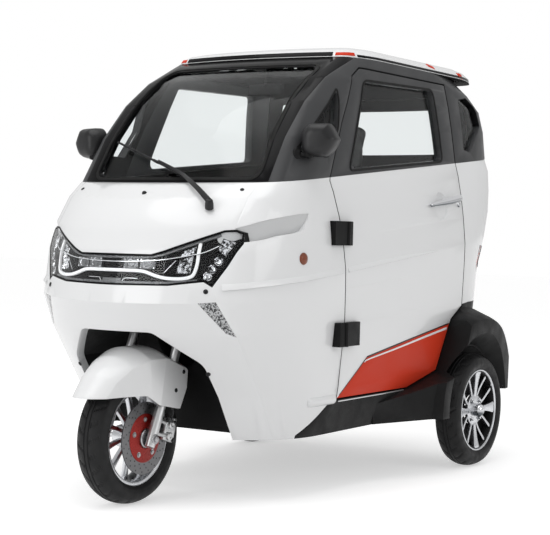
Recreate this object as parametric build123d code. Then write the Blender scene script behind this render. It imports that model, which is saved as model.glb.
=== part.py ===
from build123d import *
import math
import os

# Enclosed three-wheeled car: one steered wheel in front, two driven wheels behind.
# Millimetres. X is the vehicle's left, -Y its front, +Z up, and the ground is z = 0.
# Lengths along the vehicle are given as distances behind the front axle.
# A box is given as three (low, high) pairs: across the vehicle, along it, and up.

# ---------------------------------------------------------------- driving sizes
FRONT_AXLE_Y = -869
WHEELBASE = 1600
TRACK = 1060
CLEARANCE = 0.3

TYRE_RADIUS = 230
TYRE_WIDTH = 108
TYRE_SHOULDER = 18
BEAD_INSET = 12
RIM_RADIUS = 167
RIM_WIDTH = 92
BARREL_WALL = 11
HUB_RADIUS = 34
SPOKE_DEPTH = 16
FRONT_SPOKE_FACE = 28
REAR_SPOKE_FACE = 34
# columns: number of spokes, width, angle of the first
FRONT_SPOKES = ((10, 17, 0),)
REAR_SPOKES = ((4, 34, 10), (8, 12, 32))

WALL = 35
GLASS_THICKNESS = 5
GAP = 6
CRUMB_VOLUME = 60

# Closed outlines of the body, one per row, from the sill up to the belt line.
# Each lies in a plane that may rise to the rear.
# columns: height at the front axle, height 2 m behind it, nose distance behind the axle,
#          nose arc reach, nose arc turn, nose corner radius, half width,
#          tail distance, tail arc reach, tail arc turn, tail corner radius
LOWER_SECTIONS = (
    (220, 232, 135, 366, 40, 200, 456, 1850, 340, 12, 90),
    (372, 412, 60, 378, 40, 220, 482, 1872, 362, 12, 90),
    (590, 690, -90, 386, 40, 240, 504, 1890, 384, 12, 90),
    (706, 852, -142, 388, 40, 240, 514, 1900, 392, 12, 90),
    (760, 960, -128, 394, 40, 240, 518, 1950, 396, 12, 90),
    (868, 1062, -106, 400, 40, 220, 512, 1992, 392, 12, 90),
    (955, 1150, -65, 399, 39, 200, 503, 2004, 388, 12, 90),
    (1042, 1234, 5, 398, 38, 160, 490, 2000, 384, 12, 90),
    (1090, 1288, 104, 398, 31, 110, 478, 1990, 376, 14, 90),
)

# The same columns for the cab, from the belt line up to the roof rail.
UPPER_SECTIONS = (
    (1090, 1288, 198, 398, 10, 62, 478, 1990, 378, 14, 90),
    (1250, 1400, 300, 388, 10, 60, 466, 1972, 374, 14, 90),
    (1390, 1480, 420, 376, 10, 58, 454, 1952, 366, 16, 90),
    (1490, 1545, 543, 366, 11, 56, 441, 1925, 348, 26, 90),
    (1600, 1600, 716, 350, 14, 56, 426, 1884, 312, 36, 90),
)

# The same columns for the roof, from the rail up to the crown.
ROOF_SECTIONS = (
    (1600, 1600, 720, 350, 14, 56, 426, 1937, 330, 14, 60),
    (1614, 1616, 730, 346, 14, 56, 420, 1934, 328, 14, 60),
    (1630, 1634, 764, 330, 14, 58, 400, 1904, 318, 14, 60),
    (1643, 1648, 822, 298, 14, 60, 364, 1850, 296, 14, 64),
    (1652, 1657, 902, 248, 14, 70, 316, 1770, 250, 14, 70),
    (1657, 1662, 1010, 176, 14, 80, 248, 1650, 180, 14, 80),
)
SLOPE_RUN = 2000
SIDE_TURN = 25
CAVITY_RISE = 24

# Outlines seen from the front, as (x, height).
HEADLAMP_HALF = (
    (33, 754), (218, 757), (324, 772), (350, 755), (386, 827), (416, 902), (412, 938), (388, 948),
    (356, 945), (289, 916), (187, 873), (148, 860),
)
LOWER_LAMP = ((316, 702), (366, 707), (397, 589), (372, 602))
MASK_HALF = ((397, 150), (397, 589), (366, 707), (350, 755), (350, 800))
ARCH_OUTLINE = ((-292, 150), (-276, 490), (-150, 598), (150, 598), (276, 490), (292, 150))
ARCH_CORNER = 50
WINDSCREEN = ((-352, 1130), (352, 1130), (334, 1556), (-334, 1556))
WINDSCREEN_CORNER = 36
REAR_WINDOW = ((-306, 1302), (306, 1302), (292, 1500), (-292, 1500))
REAR_WINDOW_CORNER = 40

# Outlines seen from the side, as (distance behind the front axle, height).
DOOR_OUTLINE = (
    (600, 350), (600, 620), (556, 960), (512, 1128), (620, 1340), (735, 1520), (800, 1556),
    (1485, 1556), (1520, 1236), (1548, 900), (1560, 660), (1470, 606), (1380, 404), (1145, 350),
)
DOOR_WINDOW = ((660, 1178), (812, 1508), (1364, 1522), (1402, 1246))
DOOR_WINDOW_CORNER = 24
DOOR_TRIM = ((600, 350), (790, 488), (1463, 590), (1380, 404), (1145, 350))
QUARTER_LIGHT = ((336, 1222), (505, 1216), (586, 1318), (616, 1462))
QUARTER_CORNER = 7
REAR_QUARTER_LIGHT = ((1608, 1300), (1598, 1508), (1690, 1523), (1762, 1496), (1796, 1415), (1668, 1292))
REAR_QUARTER_CORNER = 14
SKIRT_OUTLINE = (
    (380, 150), (380, 234), (555, 342), (600, 346), (1145, 352), (1378, 402), (1466, 612),
    (1556, 664), (1640, 672), (2300, 672), (2300, 150),
)
COWL_OUTLINE = ((40, 1064), (268, 1087), (268, 1140), (40, 1117))

# Boxes that part one panel of the body from the next.
BODY_HALF = 800
PILLAR_X = 398
QUARTER_ZONE = ((-700, 700), (-400, 640), (150, 1400))
BONNET_ZONE = ((-384, 384), (-300, 330), (850, 1300))
CAB_FRONT_ZONE = ((-PILLAR_X, PILLAR_X), (-300, 800), (1000, 1700))
REAR_ZONE = ((-700, 700), (1250, 2400), (150, 1600))
SILL_ZONE = ((-700, 700), (370, 2300), (150, 680))
REAR_PANEL_ZONE = ((-366, 366), (1700, 2300), (672, 929))
REAR_BUMPER_ZONE = ((-410, 410), (1660, 2300), (150, 672))
TAIL_LAMP_ZONE = ((366, 560), (1740, 2300), (812, 907))
REAR_QUARTER_START = 375
TAILGATE_HALF = 345
TAILGATE_BOTTOM = 935
TAILGATE_TOP = 1544
TAILGATE_REACH = (1650, 2300)


def back(distance):
    """Y of a place so far behind the front axle."""
    return FRONT_AXLE_Y + distance


def corner_arcs(reach, turn, radius, half_width):
    """Three tangent arcs from the centre line round one corner of an outline.

    Each is (start, middle, end) as (x, depth) pairs, where depth is measured
    from the outline's end towards its middle.
    """
    corner_turn = 90 - SIDE_TURN
    sine_step = math.sin(math.radians(corner_turn)) - math.sin(math.radians(turn))
    side_reach = half_width - reach - radius * sine_step
    turns = (
        (reach / math.sin(math.radians(turn)), 0, turn),
        (radius, turn, corner_turn),
        (side_reach / (1 - math.sin(math.radians(corner_turn))), corner_turn, 90),
    )
    x = 0
    depth = 0
    arcs = []
    for arc_radius, first, last in turns:
        points = []
        for angle in (first, (first + last) / 2, last):
            across = math.sin(math.radians(angle)) - math.sin(math.radians(first))
            along = math.cos(math.radians(first)) - math.cos(math.radians(angle))
            points.append((x + arc_radius * across, depth + arc_radius * along))
        arcs.append(points)
        x, depth = points[-1]
    return arcs


def outline(row, inset):
    """One closed outline of the body, moved inwards by inset."""
    (front_z, rear_z, nose, nose_reach, nose_turn, nose_radius, half_width,
     tail, tail_reach, tail_turn, tail_radius) = row
    tilt = math.atan((rear_z - front_z) / SLOPE_RUN)

    def end_arcs(reach, turn, radius):
        """The arcs of one end, drawn inwards by inset."""
        inner_reach = reach - inset * math.sin(math.radians(turn))
        return corner_arcs(inner_reach, turn, radius - inset, half_width - inset)

    def flat(point, side=1):
        """A point on the tilted plane of the outline."""
        return (side * point[0], point[1] / math.cos(tilt))

    nose_arcs = end_arcs(nose_reach, nose_turn, nose_radius)
    tail_arcs = end_arcs(tail_reach, tail_turn, tail_radius)
    front = [[(x, nose + inset + depth) for x, depth in arc] for arc in nose_arcs]
    rear = [[(x, tail - inset - depth) for x, depth in arc] for arc in tail_arcs]
    nose_start, nose_end = front[0][2], front[2][2]
    tail_start, tail_end = rear[0][2], rear[2][2]
    edges = [ThreePointArc(flat(nose_start, -1), flat(front[0][0]), flat(nose_start))]
    for arc in front[1:]:
        edges.append(ThreePointArc(*[flat(point) for point in arc]))
    edges.append(Line(flat(nose_end), flat(tail_end)))
    for arc in reversed(rear[1:]):
        edges.append(ThreePointArc(*[flat(point) for point in reversed(arc)]))
    edges.append(ThreePointArc(flat(tail_start), flat(rear[0][0]), flat(tail_start, -1)))
    for arc in rear[1:]:
        edges.append(ThreePointArc(*[flat(point, -1) for point in arc]))
    edges.append(Line(flat(tail_end, -1), flat(nose_end, -1)))
    for arc in reversed(front[1:]):
        edges.append(ThreePointArc(*[flat(point, -1) for point in reversed(arc)]))
    plane = Plane(origin=(0, back(0), front_z), x_dir=(1, 0, 0),
                  z_dir=(0, -math.sin(tilt), math.cos(tilt)))
    return plane * make_face(edges)


def hull(sections, inset=0):
    """The solid through a table of outlines, moved inwards by inset."""
    return loft([outline(row, inset) for row in sections], ruled=True)


def loop(points, radius=0):
    """A closed outline with straight sides, its corners rounded if a radius is given."""
    if radius:
        return FilletPolyline(*points, radius=radius, close=True)
    return Polyline(*points, close=True)


def face_prism(face, start=0, reach=BODY_HALF):
    """A prism along X from a flat face drawn in (distance behind the front axle, height)."""
    placed = Plane.YZ * (Pos(back(0), 0, 0) * face)
    return Pos(start, 0, 0) * extrude(placed, amount=reach - start, dir=(1, 0, 0))


def side_prism(points, radius=0, start=0, reach=BODY_HALF):
    """A prism along X from an outline of (distance behind the front axle, height) points."""
    return face_prism(make_face(loop(points, radius)), start, reach)


def face_tunnel(face, first=-400, last=330):
    """A prism along Y from a flat face drawn in (x, height)."""
    return Pos(0, back(first), 0) * extrude(Plane.XZ * face, amount=last - first, dir=(0, 1, 0))


def front_prism(points, radius=0, first=-400, last=330):
    """A prism along Y from an outline of (x, height) points."""
    return face_tunnel(make_face(loop(points, radius)), first, last)


def plan_prism(points, low, high):
    """A prism along Z from an outline of (x, distance behind the front axle) points."""
    face = make_face(loop([(x, back(distance)) for x, distance in points]))
    return Pos(0, 0, low) * extrude(face, amount=high - low, dir=(0, 0, 1))


def block(across, along, height):
    """A box between (low, high) pairs, with its length measured behind the front axle."""
    size = (across[1] - across[0], along[1] - along[0], height[1] - height[0])
    centre = (sum(across) / 2, back(sum(along) / 2), sum(height) / 2)
    return Pos(*centre) * Box(*size)


def rod(start, end, radius):
    """A round bar between two points."""
    line = Line(start, end)
    return sweep(Plane(line @ 0, z_dir=line % 0) * Circle(radius), path=line)


def drum(centre, radius, width):
    """A disc of full width about an axis along X."""
    return Pos(*centre) * Rot(0, 90, 0) * Cylinder(radius, width)


def turned(centre, points, radius=0):
    """A ring about an axis along X from (distance from the centre plane, radius) points."""
    plane = Plane(origin=centre, x_dir=(1, 0, 0), z_dir=(0, -1, 0))
    return revolve(plane * make_face(loop(points, radius)), axis=Axis(centre, (1, 0, 0)))


def mirrored(points):
    """A half outline seen from the front, closed by its mirror image."""
    return tuple(points) + tuple((-x, z) for x, z in reversed(points))


def both_sides(piece):
    """A piece of the left side together with its mirror image."""
    return piece + mirror(piece, about=Plane.YZ)


def solids(piece):
    """One compound of the piece's solids, leaving out crumbs."""
    kept = [solid for solid in piece.solids() if solid.volume > CRUMB_VOLUME]
    return kept[0] if len(kept) == 1 else Compound(kept)


parts = {}

# ---------------------------------------------------------------- body walls
lower_outer = hull(LOWER_SECTIONS)
lower_inner = hull(LOWER_SECTIONS, WALL)
upper_outer = hull(UPPER_SECTIONS)
lower_wall = lower_outer - lower_inner
upper_wall = upper_outer - hull(UPPER_SECTIONS, WALL)
glass_skin = hull(UPPER_SECTIONS, WALL / 2) - hull(UPPER_SECTIONS, WALL / 2 + GLASS_THICKNESS)
cowl = lower_outer & side_prism(COWL_OUTLINE, start=-BODY_HALF)

# ---------------------------------------------------------------- zones of the body
door_face = make_face(loop(DOOR_OUTLINE))
wide_door_face = offset(door_face, amount=GAP, kind=Kind.INTERSECTION)
door_zone = face_prism(door_face)
door_opening = both_sides(face_prism(wide_door_face))
window_zone = side_prism(DOOR_WINDOW, radius=DOOR_WINDOW_CORNER)
trim_zone = side_prism(DOOR_TRIM)
quarter_zone = both_sides(side_prism(QUARTER_LIGHT, radius=QUARTER_CORNER, start=PILLAR_X))
rear_quarter_zone = both_sides(
    side_prism(REAR_QUARTER_LIGHT, radius=REAR_QUARTER_CORNER, start=REAR_QUARTER_START)
)
skirt_zone = both_sides(side_prism(SKIRT_OUTLINE))
headlamp_zone = front_prism(mirrored(HEADLAMP_HALF))
lower_lamp_zone = both_sides(front_prism(LOWER_LAMP))
arch_zone = front_prism(ARCH_OUTLINE, radius=ARCH_CORNER)
mask_zone = front_prism(mirrored(MASK_HALF))
windscreen_zone = front_prism(WINDSCREEN, radius=WINDSCREEN_CORNER, last=800)
bonnet_zone = block(*BONNET_ZONE)
rear_panel_zone = block(*REAR_PANEL_ZONE)
rear_bumper_zone = block(*REAR_BUMPER_ZONE)
tail_lamp_zone = both_sides(block(*TAIL_LAMP_ZONE))
rear_window_zone = front_prism(REAR_WINDOW, radius=REAR_WINDOW_CORNER, first=1500, last=2300)
tailgate_zone = block((-TAILGATE_HALF, TAILGATE_HALF), TAILGATE_REACH,
                      (TAILGATE_BOTTOM, TAILGATE_TOP))
tailgate_opening = block((-TAILGATE_HALF - GAP, TAILGATE_HALF + GAP), TAILGATE_REACH,
                         (TAILGATE_BOTTOM - GAP, TAILGATE_TOP + GAP))

# The rear wheels' housings, inside the body, with the flares over them.
ARCH_RADIUS = 262
HOUSING_THICKNESS = 6
HOUSING_GAP = 55
HOUSING_TOP_X = 520
HOUSING_FACE_RADIUS = 70
# outline of what is kept of the housing, as (distance behind the front axle, height)
HOUSING_KEEP = ((1100, 212), (1600, 212), (1600, 300), (2100, 300), (2100, 900), (1100, 900))
rear_axle_y = FRONT_AXLE_Y + WHEELBASE
rear_centre = (0, rear_axle_y, TYRE_RADIUS)
housing_x = TRACK / 2 - TYRE_WIDTH / 2 - HOUSING_GAP
arch_outer = ARCH_RADIUS + HOUSING_THICKNESS
housing_cut = both_sides(turned(rear_centre, (
    (housing_x - WALL / 2, 0), (housing_x - WALL / 2, arch_outer),
    (BODY_HALF, arch_outer), (BODY_HALF, 0),
)))

# ---------------------------------------------------------------- front of the body
front_walls = lower_wall + cowl - door_opening - skirt_zone
lamp_zones = headlamp_zone + lower_lamp_zone
parts["nose_mask"] = (lower_wall & mask_zone) - arch_zone - lamp_zones
parts["headlamp_unit"] = lower_wall & headlamp_zone
parts["lower_lamps"] = lower_wall & lower_lamp_zone
parts["bonnet"] = ((lower_wall + cowl) & bonnet_zone) - headlamp_zone
parts["front_quarters"] = (front_walls & block(*QUARTER_ZONE)) - mask_zone - lamp_zones - bonnet_zone

# ---------------------------------------------------------------- rear of the body
rear_walls = lower_wall - door_opening - skirt_zone - tailgate_opening - tail_lamp_zone
parts["rear_quarters"] = (rear_walls & block(*REAR_ZONE)) - rear_panel_zone - housing_cut
parts["rear_panel"] = rear_walls & rear_panel_zone
parts["tail_lamps"] = (lower_wall & tail_lamp_zone) - housing_cut
parts["rear_bumper"] = (lower_wall & rear_bumper_zone) - housing_cut
sill = lower_wall & skirt_zone & block(*SILL_ZONE)
sill = sill - rear_bumper_zone - housing_cut - door_opening

# ---------------------------------------------------------------- cab
cab = upper_wall - door_opening - tailgate_opening
cab_front = block(*CAB_FRONT_ZONE)
parts["windscreen_frame"] = (cab & cab_front) - windscreen_zone
parts["windscreen_glass"] = glass_skin & windscreen_zone
parts["cab_side_frames"] = cab - cab_front - quarter_zone - rear_quarter_zone
parts["quarter_glass"] = glass_skin & (quarter_zone + rear_quarter_zone)
roof_outer = hull(ROOF_SECTIONS)
roof_cavity = extrude(outline(UPPER_SECTIONS[-1], WALL), amount=WALL * 2)
parts["roof_panel"] = roof_outer - (roof_cavity & (Pos(0, 0, -CAVITY_RISE) * roof_outer))

# ---------------------------------------------------------------- doors and tailgate
left_door = {
    "door_shell": (lower_wall & door_zone) - trim_zone,
    "door_trim": lower_wall & trim_zone & door_zone,
    "door_frame": (upper_wall & door_zone) - window_zone,
    "door_glass": glass_skin & window_zone,
}
tail_walls = lower_wall + upper_wall
parts["tailgate"] = (tail_walls & tailgate_zone) - rear_window_zone
parts["rear_glass"] = glass_skin & rear_window_zone & tailgate_zone

TAILGATE_HINGE_BACK = 1912
TAILGATE_HINGE_Z = 1566
TAILGATE_HINGE_X = 210
TAILGATE_BARREL_LENGTH = 48
TAILGATE_BARREL_RADIUS = 7
HINGE_POST_THICKNESS = 8
HINGE_POST_TOP = 1620
tailgate_pin = (TAILGATE_HINGE_X, back(TAILGATE_HINGE_BACK), TAILGATE_HINGE_Z)
tailgate_barrel = drum(tailgate_pin, TAILGATE_BARREL_RADIUS, TAILGATE_BARREL_LENGTH)
hinge_post = Pos(*tailgate_pin) * Box(
    TAILGATE_BARREL_LENGTH, HINGE_POST_THICKNESS, HINGE_POST_TOP - TAILGATE_HINGE_Z,
    align=(Align.CENTER, Align.CENTER, Align.MIN))
parts["tailgate_hinges"] = both_sides((hinge_post + tailgate_barrel) - roof_outer)
# each arm of the tailgate carries a barrel on the same pin
TAILGATE_ARM_FOOT = ((238, 254), (1870, 1916), (1518, 1540))
TAILGATE_ARM_POST = ((238, 254), (1904, 1916), (1518, TAILGATE_HINGE_Z))
arm_centre = (sum(TAILGATE_ARM_POST[0]) / 2, back(TAILGATE_HINGE_BACK), TAILGATE_HINGE_Z)
arm_barrel = drum(arm_centre, TAILGATE_BARREL_RADIUS, TAILGATE_ARM_POST[0][1] - TAILGATE_ARM_POST[0][0])
tailgate_arm = block(*TAILGATE_ARM_FOOT) + block(*TAILGATE_ARM_POST) + arm_barrel
parts["tailgate"] += both_sides(tailgate_arm - upper_outer)

# ---------------------------------------------------------------- black skirts and flares
FLARE_X = 598
FLARE_CROWN = 420
FLARE_SHOULDER = 28
FLARE_LIP = 322
FLARE_EDGE = 55
FLARE_INNER_X = 440
FLARE_CROWN_X = 500
SKIRT_BOTTOM = 226
# outlines of what is kept of the flare, seen from the side and from above
FLARE_KEEP = (
    (1100, SKIRT_BOTTOM), (1600, SKIRT_BOTTOM), (1600, 296), (1935, 296), (1945, 420),
    (1945, 900), (1100, 900),
)
FLARE_PLAN = ((300, 1000), (300, 2000), (542, 2000), (552, 1945), (580, 1800), (598, 1640), (598, 1000))
# the fairing ahead of the flare, seen from above and from the side
FAIRING_PLAN = ((440, 900), (462, 900), (520, 1080), (572, 1240), (598, 1340), (440, 1340))
FAIRING_SIDE = (
    (900, SKIRT_BOTTOM), (900, 300), (1120, 340), (1376, 394), (1462, 604), (1462, SKIRT_BOTTOM),
)
FAIRING_TOP = 640
WHEEL_SPACE_X = 400
flare_ring = turned(rear_centre, (
    (FLARE_INNER_X, arch_outer), (HOUSING_TOP_X, arch_outer), (FLARE_X, FLARE_LIP),
    (FLARE_X, FLARE_LIP + FLARE_EDGE), (FLARE_X - FLARE_SHOULDER, FLARE_CROWN - FLARE_SHOULDER),
    (FLARE_CROWN_X, FLARE_CROWN), (FLARE_INNER_X, FLARE_CROWN),
))
wheel_space = turned(rear_centre, (
    (WHEEL_SPACE_X, 0), (WHEEL_SPACE_X, arch_outer), (HOUSING_TOP_X, arch_outer),
    (FLARE_X, FLARE_LIP), (BODY_HALF, FLARE_LIP), (BODY_HALF, 0),
))
fairing = plan_prism(FAIRING_PLAN, SKIRT_BOTTOM, FAIRING_TOP) & side_prism(FAIRING_SIDE)
flare = flare_ring & side_prism(FLARE_KEEP) & plan_prism(FLARE_PLAN, 0, 1000)
flare = flare + fairing - wheel_space - (lower_outer - housing_cut) - face_prism(wide_door_face)
parts["side_skirts"] = both_sides(flare) + sill
housing = turned(rear_centre, (
    (housing_x, HOUSING_FACE_RADIUS), (housing_x, arch_outer), (HOUSING_TOP_X, arch_outer),
    (HOUSING_TOP_X, ARCH_RADIUS), (housing_x + HOUSING_THICKNESS, ARCH_RADIUS),
    (housing_x + HOUSING_THICKNESS, HOUSING_FACE_RADIUS),
))
parts["wheel_housings"] = both_sides(housing & side_prism(HOUSING_KEEP))

# ---------------------------------------------------------------- steering
RAKE = 24
FORK_OFFSET = 40
FORK_SPREAD = 100
FORK_LEG_RADIUS = 17
FORK_LEG_START = -30
CLAMP_START = 478
CLAMP_THICKNESS = 30
CLAMP_OVERHANG = 25
CLAMP_CORNER = 14
AXLE_RADIUS = 8
AXLE_OVERHANG = 4
HEAD_TUBE_RADIUS = 28
HEAD_TUBE_START = 545
HEAD_TUBE_LENGTH = 150
STEERER_RADIUS = 14
BAR_START = 900
BAR_BEND = 920
BAR_BEND_X = 110
BAR_END = 960
BAR_END_X = 300
BAR_SWEEP = 130
BAR_RADIUS = 14
GRIP_RADIUS = 11
GRIP_LENGTH = 130
BAR_BOSS_RADIUS = 20

steer_direction = Vector(0, math.sin(math.radians(RAKE)), math.cos(math.radians(RAKE)))
steer_ahead = Vector(0, -math.cos(math.radians(RAKE)), math.sin(math.radians(RAKE)))
steer_foot = Vector(0, back(0), TYRE_RADIUS) - steer_ahead * FORK_OFFSET


def steer(along, across=0, forward=0):
    """A point beside the steering axis, so far up it from the wheel's height."""
    return steer_foot + steer_direction * along + steer_ahead * forward + Vector(across, 0, 0)


def fork_leg(side):
    """One leg of the fork, from below the axle to the top of the clamp."""
    foot = steer(FORK_LEG_START, side * FORK_SPREAD, FORK_OFFSET)
    top = steer(CLAMP_START + CLAMP_THICKNESS, side * FORK_SPREAD, FORK_OFFSET)
    return rod(foot, top, FORK_LEG_RADIUS)


def handlebar_half(side):
    """One half of the handlebar: a stout bar that steps down to the tube for the grip."""
    bend = steer(BAR_BEND, side * BAR_BEND_X)
    end = steer(BAR_END, side * BAR_END_X, -BAR_SWEEP)
    grip_start = end + (bend - end).normalized() * GRIP_LENGTH
    half = rod(steer(BAR_START), bend, BAR_RADIUS) + rod(bend, grip_start, BAR_RADIUS)
    return half + rod(grip_start, end, GRIP_RADIUS) + Pos(*bend) * Sphere(BAR_RADIUS)


clamp_plane = Plane(origin=steer(CLAMP_START), x_dir=(1, 0, 0), z_dir=steer_direction)
clamp_outline = RectangleRounded(2 * (FORK_SPREAD + CLAMP_OVERHANG), 2 * FORK_OFFSET, CLAMP_CORNER)
clamp = extrude(clamp_plane * Pos(0, -FORK_OFFSET / 2) * clamp_outline, amount=CLAMP_THICKNESS)
axle_half = FORK_SPREAD + FORK_LEG_RADIUS + AXLE_OVERHANG
front_axle = drum((0, back(0), TYRE_RADIUS), AXLE_RADIUS, 2 * axle_half)
parts["front_fork"] = fork_leg(-1) + fork_leg(1) + clamp + front_axle
steerer = rod(steer(CLAMP_START + CLAMP_THICKNESS), steer(BAR_START), STEERER_RADIUS)
bar_boss = Pos(*steer(BAR_START)) * Sphere(BAR_BOSS_RADIUS)
parts["handlebar"] = steerer + bar_boss + handlebar_half(-1) + handlebar_half(1)

# ---------------------------------------------------------------- front mudguard and brake
# sections of the mudguard about the axle, which widens to cover the fork legs
GUARD_SECTIONS = (
    # angle from upright towards the rear, crown radius, half width, edge radius
    (-85, 312, 62, 266),
    (-60, 306, 68, 264),
    (-40, 302, 78, 262),
    (-22, 305, 93, 265),
    (-6, 312, 111, 271),
    (10, 316, 122, 278),
    (35, 318, 124, 284),
    (62, 318, 124, 284),
)
GUARD_WALL = 4
GUARD_CORE = 60
# outline of what is kept of the mudguard, seen from the side
GUARD_KEEP = ((-300, 381), (-165, 380), (-33, 379), (16, 345), (108, 327), (129, 325), (166, 394),
              (171, 466), (171, 600), (-300, 600))
GUARD_STAY_START = 185
GUARD_STAY_RADIUS = 9
DISC_RADIUS = 125
DISC_BORE = 20
DISC_X = 68
DISC_THICKNESS = 5
DISC_GAP = 5
CALIPER = ((54, 83), (84, 150), (200, 290))
CALIPER_ARM_RADIUS = 7
front_centre = (0, back(0), TYRE_RADIUS)
disc_centre = (DISC_X, back(0), TYRE_RADIUS)


def guard_solid(inset):
    """The mudguard's solid, with its crown, sides and edges moved in by the inset."""
    faces = []
    for angle, crown, half, edge in GUARD_SECTIONS:
        tilt = math.radians(angle)
        width = half - inset
        plane = Plane(origin=front_centre, x_dir=(1, 0, 0), z_dir=(0, -math.cos(tilt), math.sin(tilt)))
        section = make_face([
            ThreePointArc((-width, edge), (0, crown - inset), (width, edge)),
            Polyline((width, edge), (width, GUARD_CORE), (-width, GUARD_CORE), (-width, edge)),
        ])
        faces.append(plane * section)
    return loft(faces, ruled=True)


guard = guard_solid(0) - guard_solid(GUARD_WALL)
guard = guard & side_prism(GUARD_KEEP, start=-BODY_HALF)
for side in (-1, 1):
    stay_start = steer(GUARD_STAY_START, side * (GUARD_SECTIONS[-1][2] - GUARD_WALL / 2), FORK_OFFSET)
    stay_end = steer(GUARD_STAY_START, side * FORK_SPREAD, FORK_OFFSET)
    guard += rod(stay_start, stay_end, GUARD_STAY_RADIUS)
parts["front_mudguard"] = guard - parts["front_fork"]
disc = drum(disc_centre, DISC_RADIUS, DISC_THICKNESS)
parts["brake_disc"] = disc - drum(disc_centre, DISC_BORE, 2 * DISC_THICKNESS)
caliper = block(*CALIPER)
caliper -= drum(disc_centre, DISC_RADIUS + DISC_GAP, DISC_THICKNESS + 2 * DISC_GAP)
caliper += rod((DISC_X + 16, back(110), 262), (FORK_SPREAD, back(50), 300), CALIPER_ARM_RADIUS)
parts["brake_caliper"] = caliper - parts["front_fork"]


# ---------------------------------------------------------------- wheels
def tyre(centre):
    """A tyre with rounded shoulders and a flat bead seat."""
    half = TYRE_WIDTH / 2
    bead = (half - BEAD_INSET, RIM_RADIUS - 3)
    wall = (half, RIM_RADIUS + 30)
    shoulder = (half - 10, TYRE_RADIUS - TYRE_SHOULDER)

    def other(point):
        """The same point on the other side of the tyre."""
        return (-point[0], point[1])

    profile = make_face([
        Line(other(bead), bead),
        ThreePointArc(bead, wall, shoulder),
        ThreePointArc(shoulder, (0, TYRE_RADIUS), other(shoulder)),
        ThreePointArc(other(shoulder), other(wall), other(bead)),
    ])
    plane = Plane(origin=centre, x_dir=(1, 0, 0), z_dir=(0, -1, 0))
    return revolve(plane * profile, axis=Axis(centre, (1, 0, 0)))


def rim(centre, face_x, bore, spoke_groups):
    """A cast wheel: barrel, hub and spokes, with its spokes near face_x from the centre plane."""
    seat = RIM_RADIUS - 3
    spoke_length = seat - HUB_RADIUS / 2 - BARREL_WALL / 2
    wheel = drum(centre, seat, RIM_WIDTH - 8) - drum(centre, seat - BARREL_WALL, RIM_WIDTH)
    wheel += drum(centre, HUB_RADIUS, 2 * abs(face_x) + 20)
    for count, width, first_angle in spoke_groups:
        for index in range(count):
            spoke = Pos(face_x * 0.8, 0, spoke_length / 2 + HUB_RADIUS / 2) * Box(
                SPOKE_DEPTH, width, spoke_length)
            wheel += Pos(*centre) * Rot(first_angle + index * 360 / count, 0, 0) * spoke
    return wheel - drum(centre, bore, 2 * RIM_WIDTH)


REAR_STUB_RADIUS = 15
parts["front_rim"] = rim(front_centre, -FRONT_SPOKE_FACE, AXLE_RADIUS + CLEARANCE, FRONT_SPOKES)
parts["front_tyre"] = tyre(front_centre)
for side, name in ((1, "left"), (-1, "right")):
    centre = (side * TRACK / 2, rear_axle_y, TYRE_RADIUS)
    bore = REAR_STUB_RADIUS + CLEARANCE
    parts[f"rear_rim_{name}"] = rim(centre, side * REAR_SPOKE_FACE, bore, REAR_SPOKES)
    parts[f"rear_tyre_{name}"] = tyre(centre)

# ---------------------------------------------------------------- chassis and running gear
FLOOR = ((-395, 395), (395, 1270), (240, 265))
FLOOR_TOP = FLOOR[2][1]
LEFT_RAIL = ((250, 300), (1200, 1800), (330, 380))
LEFT_RAIL_POST = ((250, 300), (1200, 1260), (240, 380))
CROSS_MEMBER = ((-300, 300), (1750, 1800), (330, 380))
BATTERY_BOX = ((-230, 230), (880, 1240), (FLOOR_TOP, 425))
FRAME_TUBE_RADIUS = 19
HEAD_STAY_START = 640
HEAD_STAY_X = 12
FRONT_POST_X = 300
FRONT_POST_BACK = 414
FRONT_POST_TOP = 730
AXLE_BEAM_RADIUS = 32
AXLE_BEAM_GAP = 20
STUB_OVERHANG = 40
GEARBOX_RADIUS = 85
GEARBOX_WIDTH = 120
GEARBOX_X = 60
SHOCK_X = 275
SHOCK_RADIUS = 24

chassis = block(*FLOOR) + block(*CROSS_MEMBER) + both_sides(block(*LEFT_RAIL) + block(*LEFT_RAIL_POST))
chassis += rod(steer(HEAD_TUBE_START), steer(HEAD_TUBE_START + HEAD_TUBE_LENGTH), HEAD_TUBE_RADIUS)
for side in (-1, 1):
    post_foot = (side * FRONT_POST_X, back(FRONT_POST_BACK), FLOOR_TOP)
    post_top = (side * FRONT_POST_X, back(FRONT_POST_BACK), FRONT_POST_TOP)
    chassis += rod(post_foot, post_top, FRAME_TUBE_RADIUS)
    chassis += rod(steer(HEAD_STAY_START, side * HEAD_STAY_X), post_top, FRAME_TUBE_RADIUS)
    chassis += Pos(*post_top) * Sphere(FRAME_TUBE_RADIUS)
chassis -= rod(steer(CLAMP_START), steer(BAR_START), STEERER_RADIUS + CLEARANCE)
parts["chassis"] = chassis
parts["battery_box"] = block(*BATTERY_BOX)

beam_half = housing_x - AXLE_BEAM_GAP
stub_half = TRACK / 2 + STUB_OVERHANG
axle_beam = drum(rear_centre, AXLE_BEAM_RADIUS, 2 * beam_half)
gearbox = drum((GEARBOX_X, rear_axle_y, TYRE_RADIUS), GEARBOX_RADIUS, GEARBOX_WIDTH)
parts["rear_axle"] = axle_beam + gearbox + drum(rear_centre, REAR_STUB_RADIUS, 2 * stub_half)
shock = rod((SHOCK_X, rear_axle_y, TYRE_RADIUS + AXLE_BEAM_RADIUS / 2),
            (SHOCK_X, rear_axle_y, LEFT_RAIL[2][0]), SHOCK_RADIUS)
parts["shock_absorbers"] = both_sides(shock - parts["rear_axle"])

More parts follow.
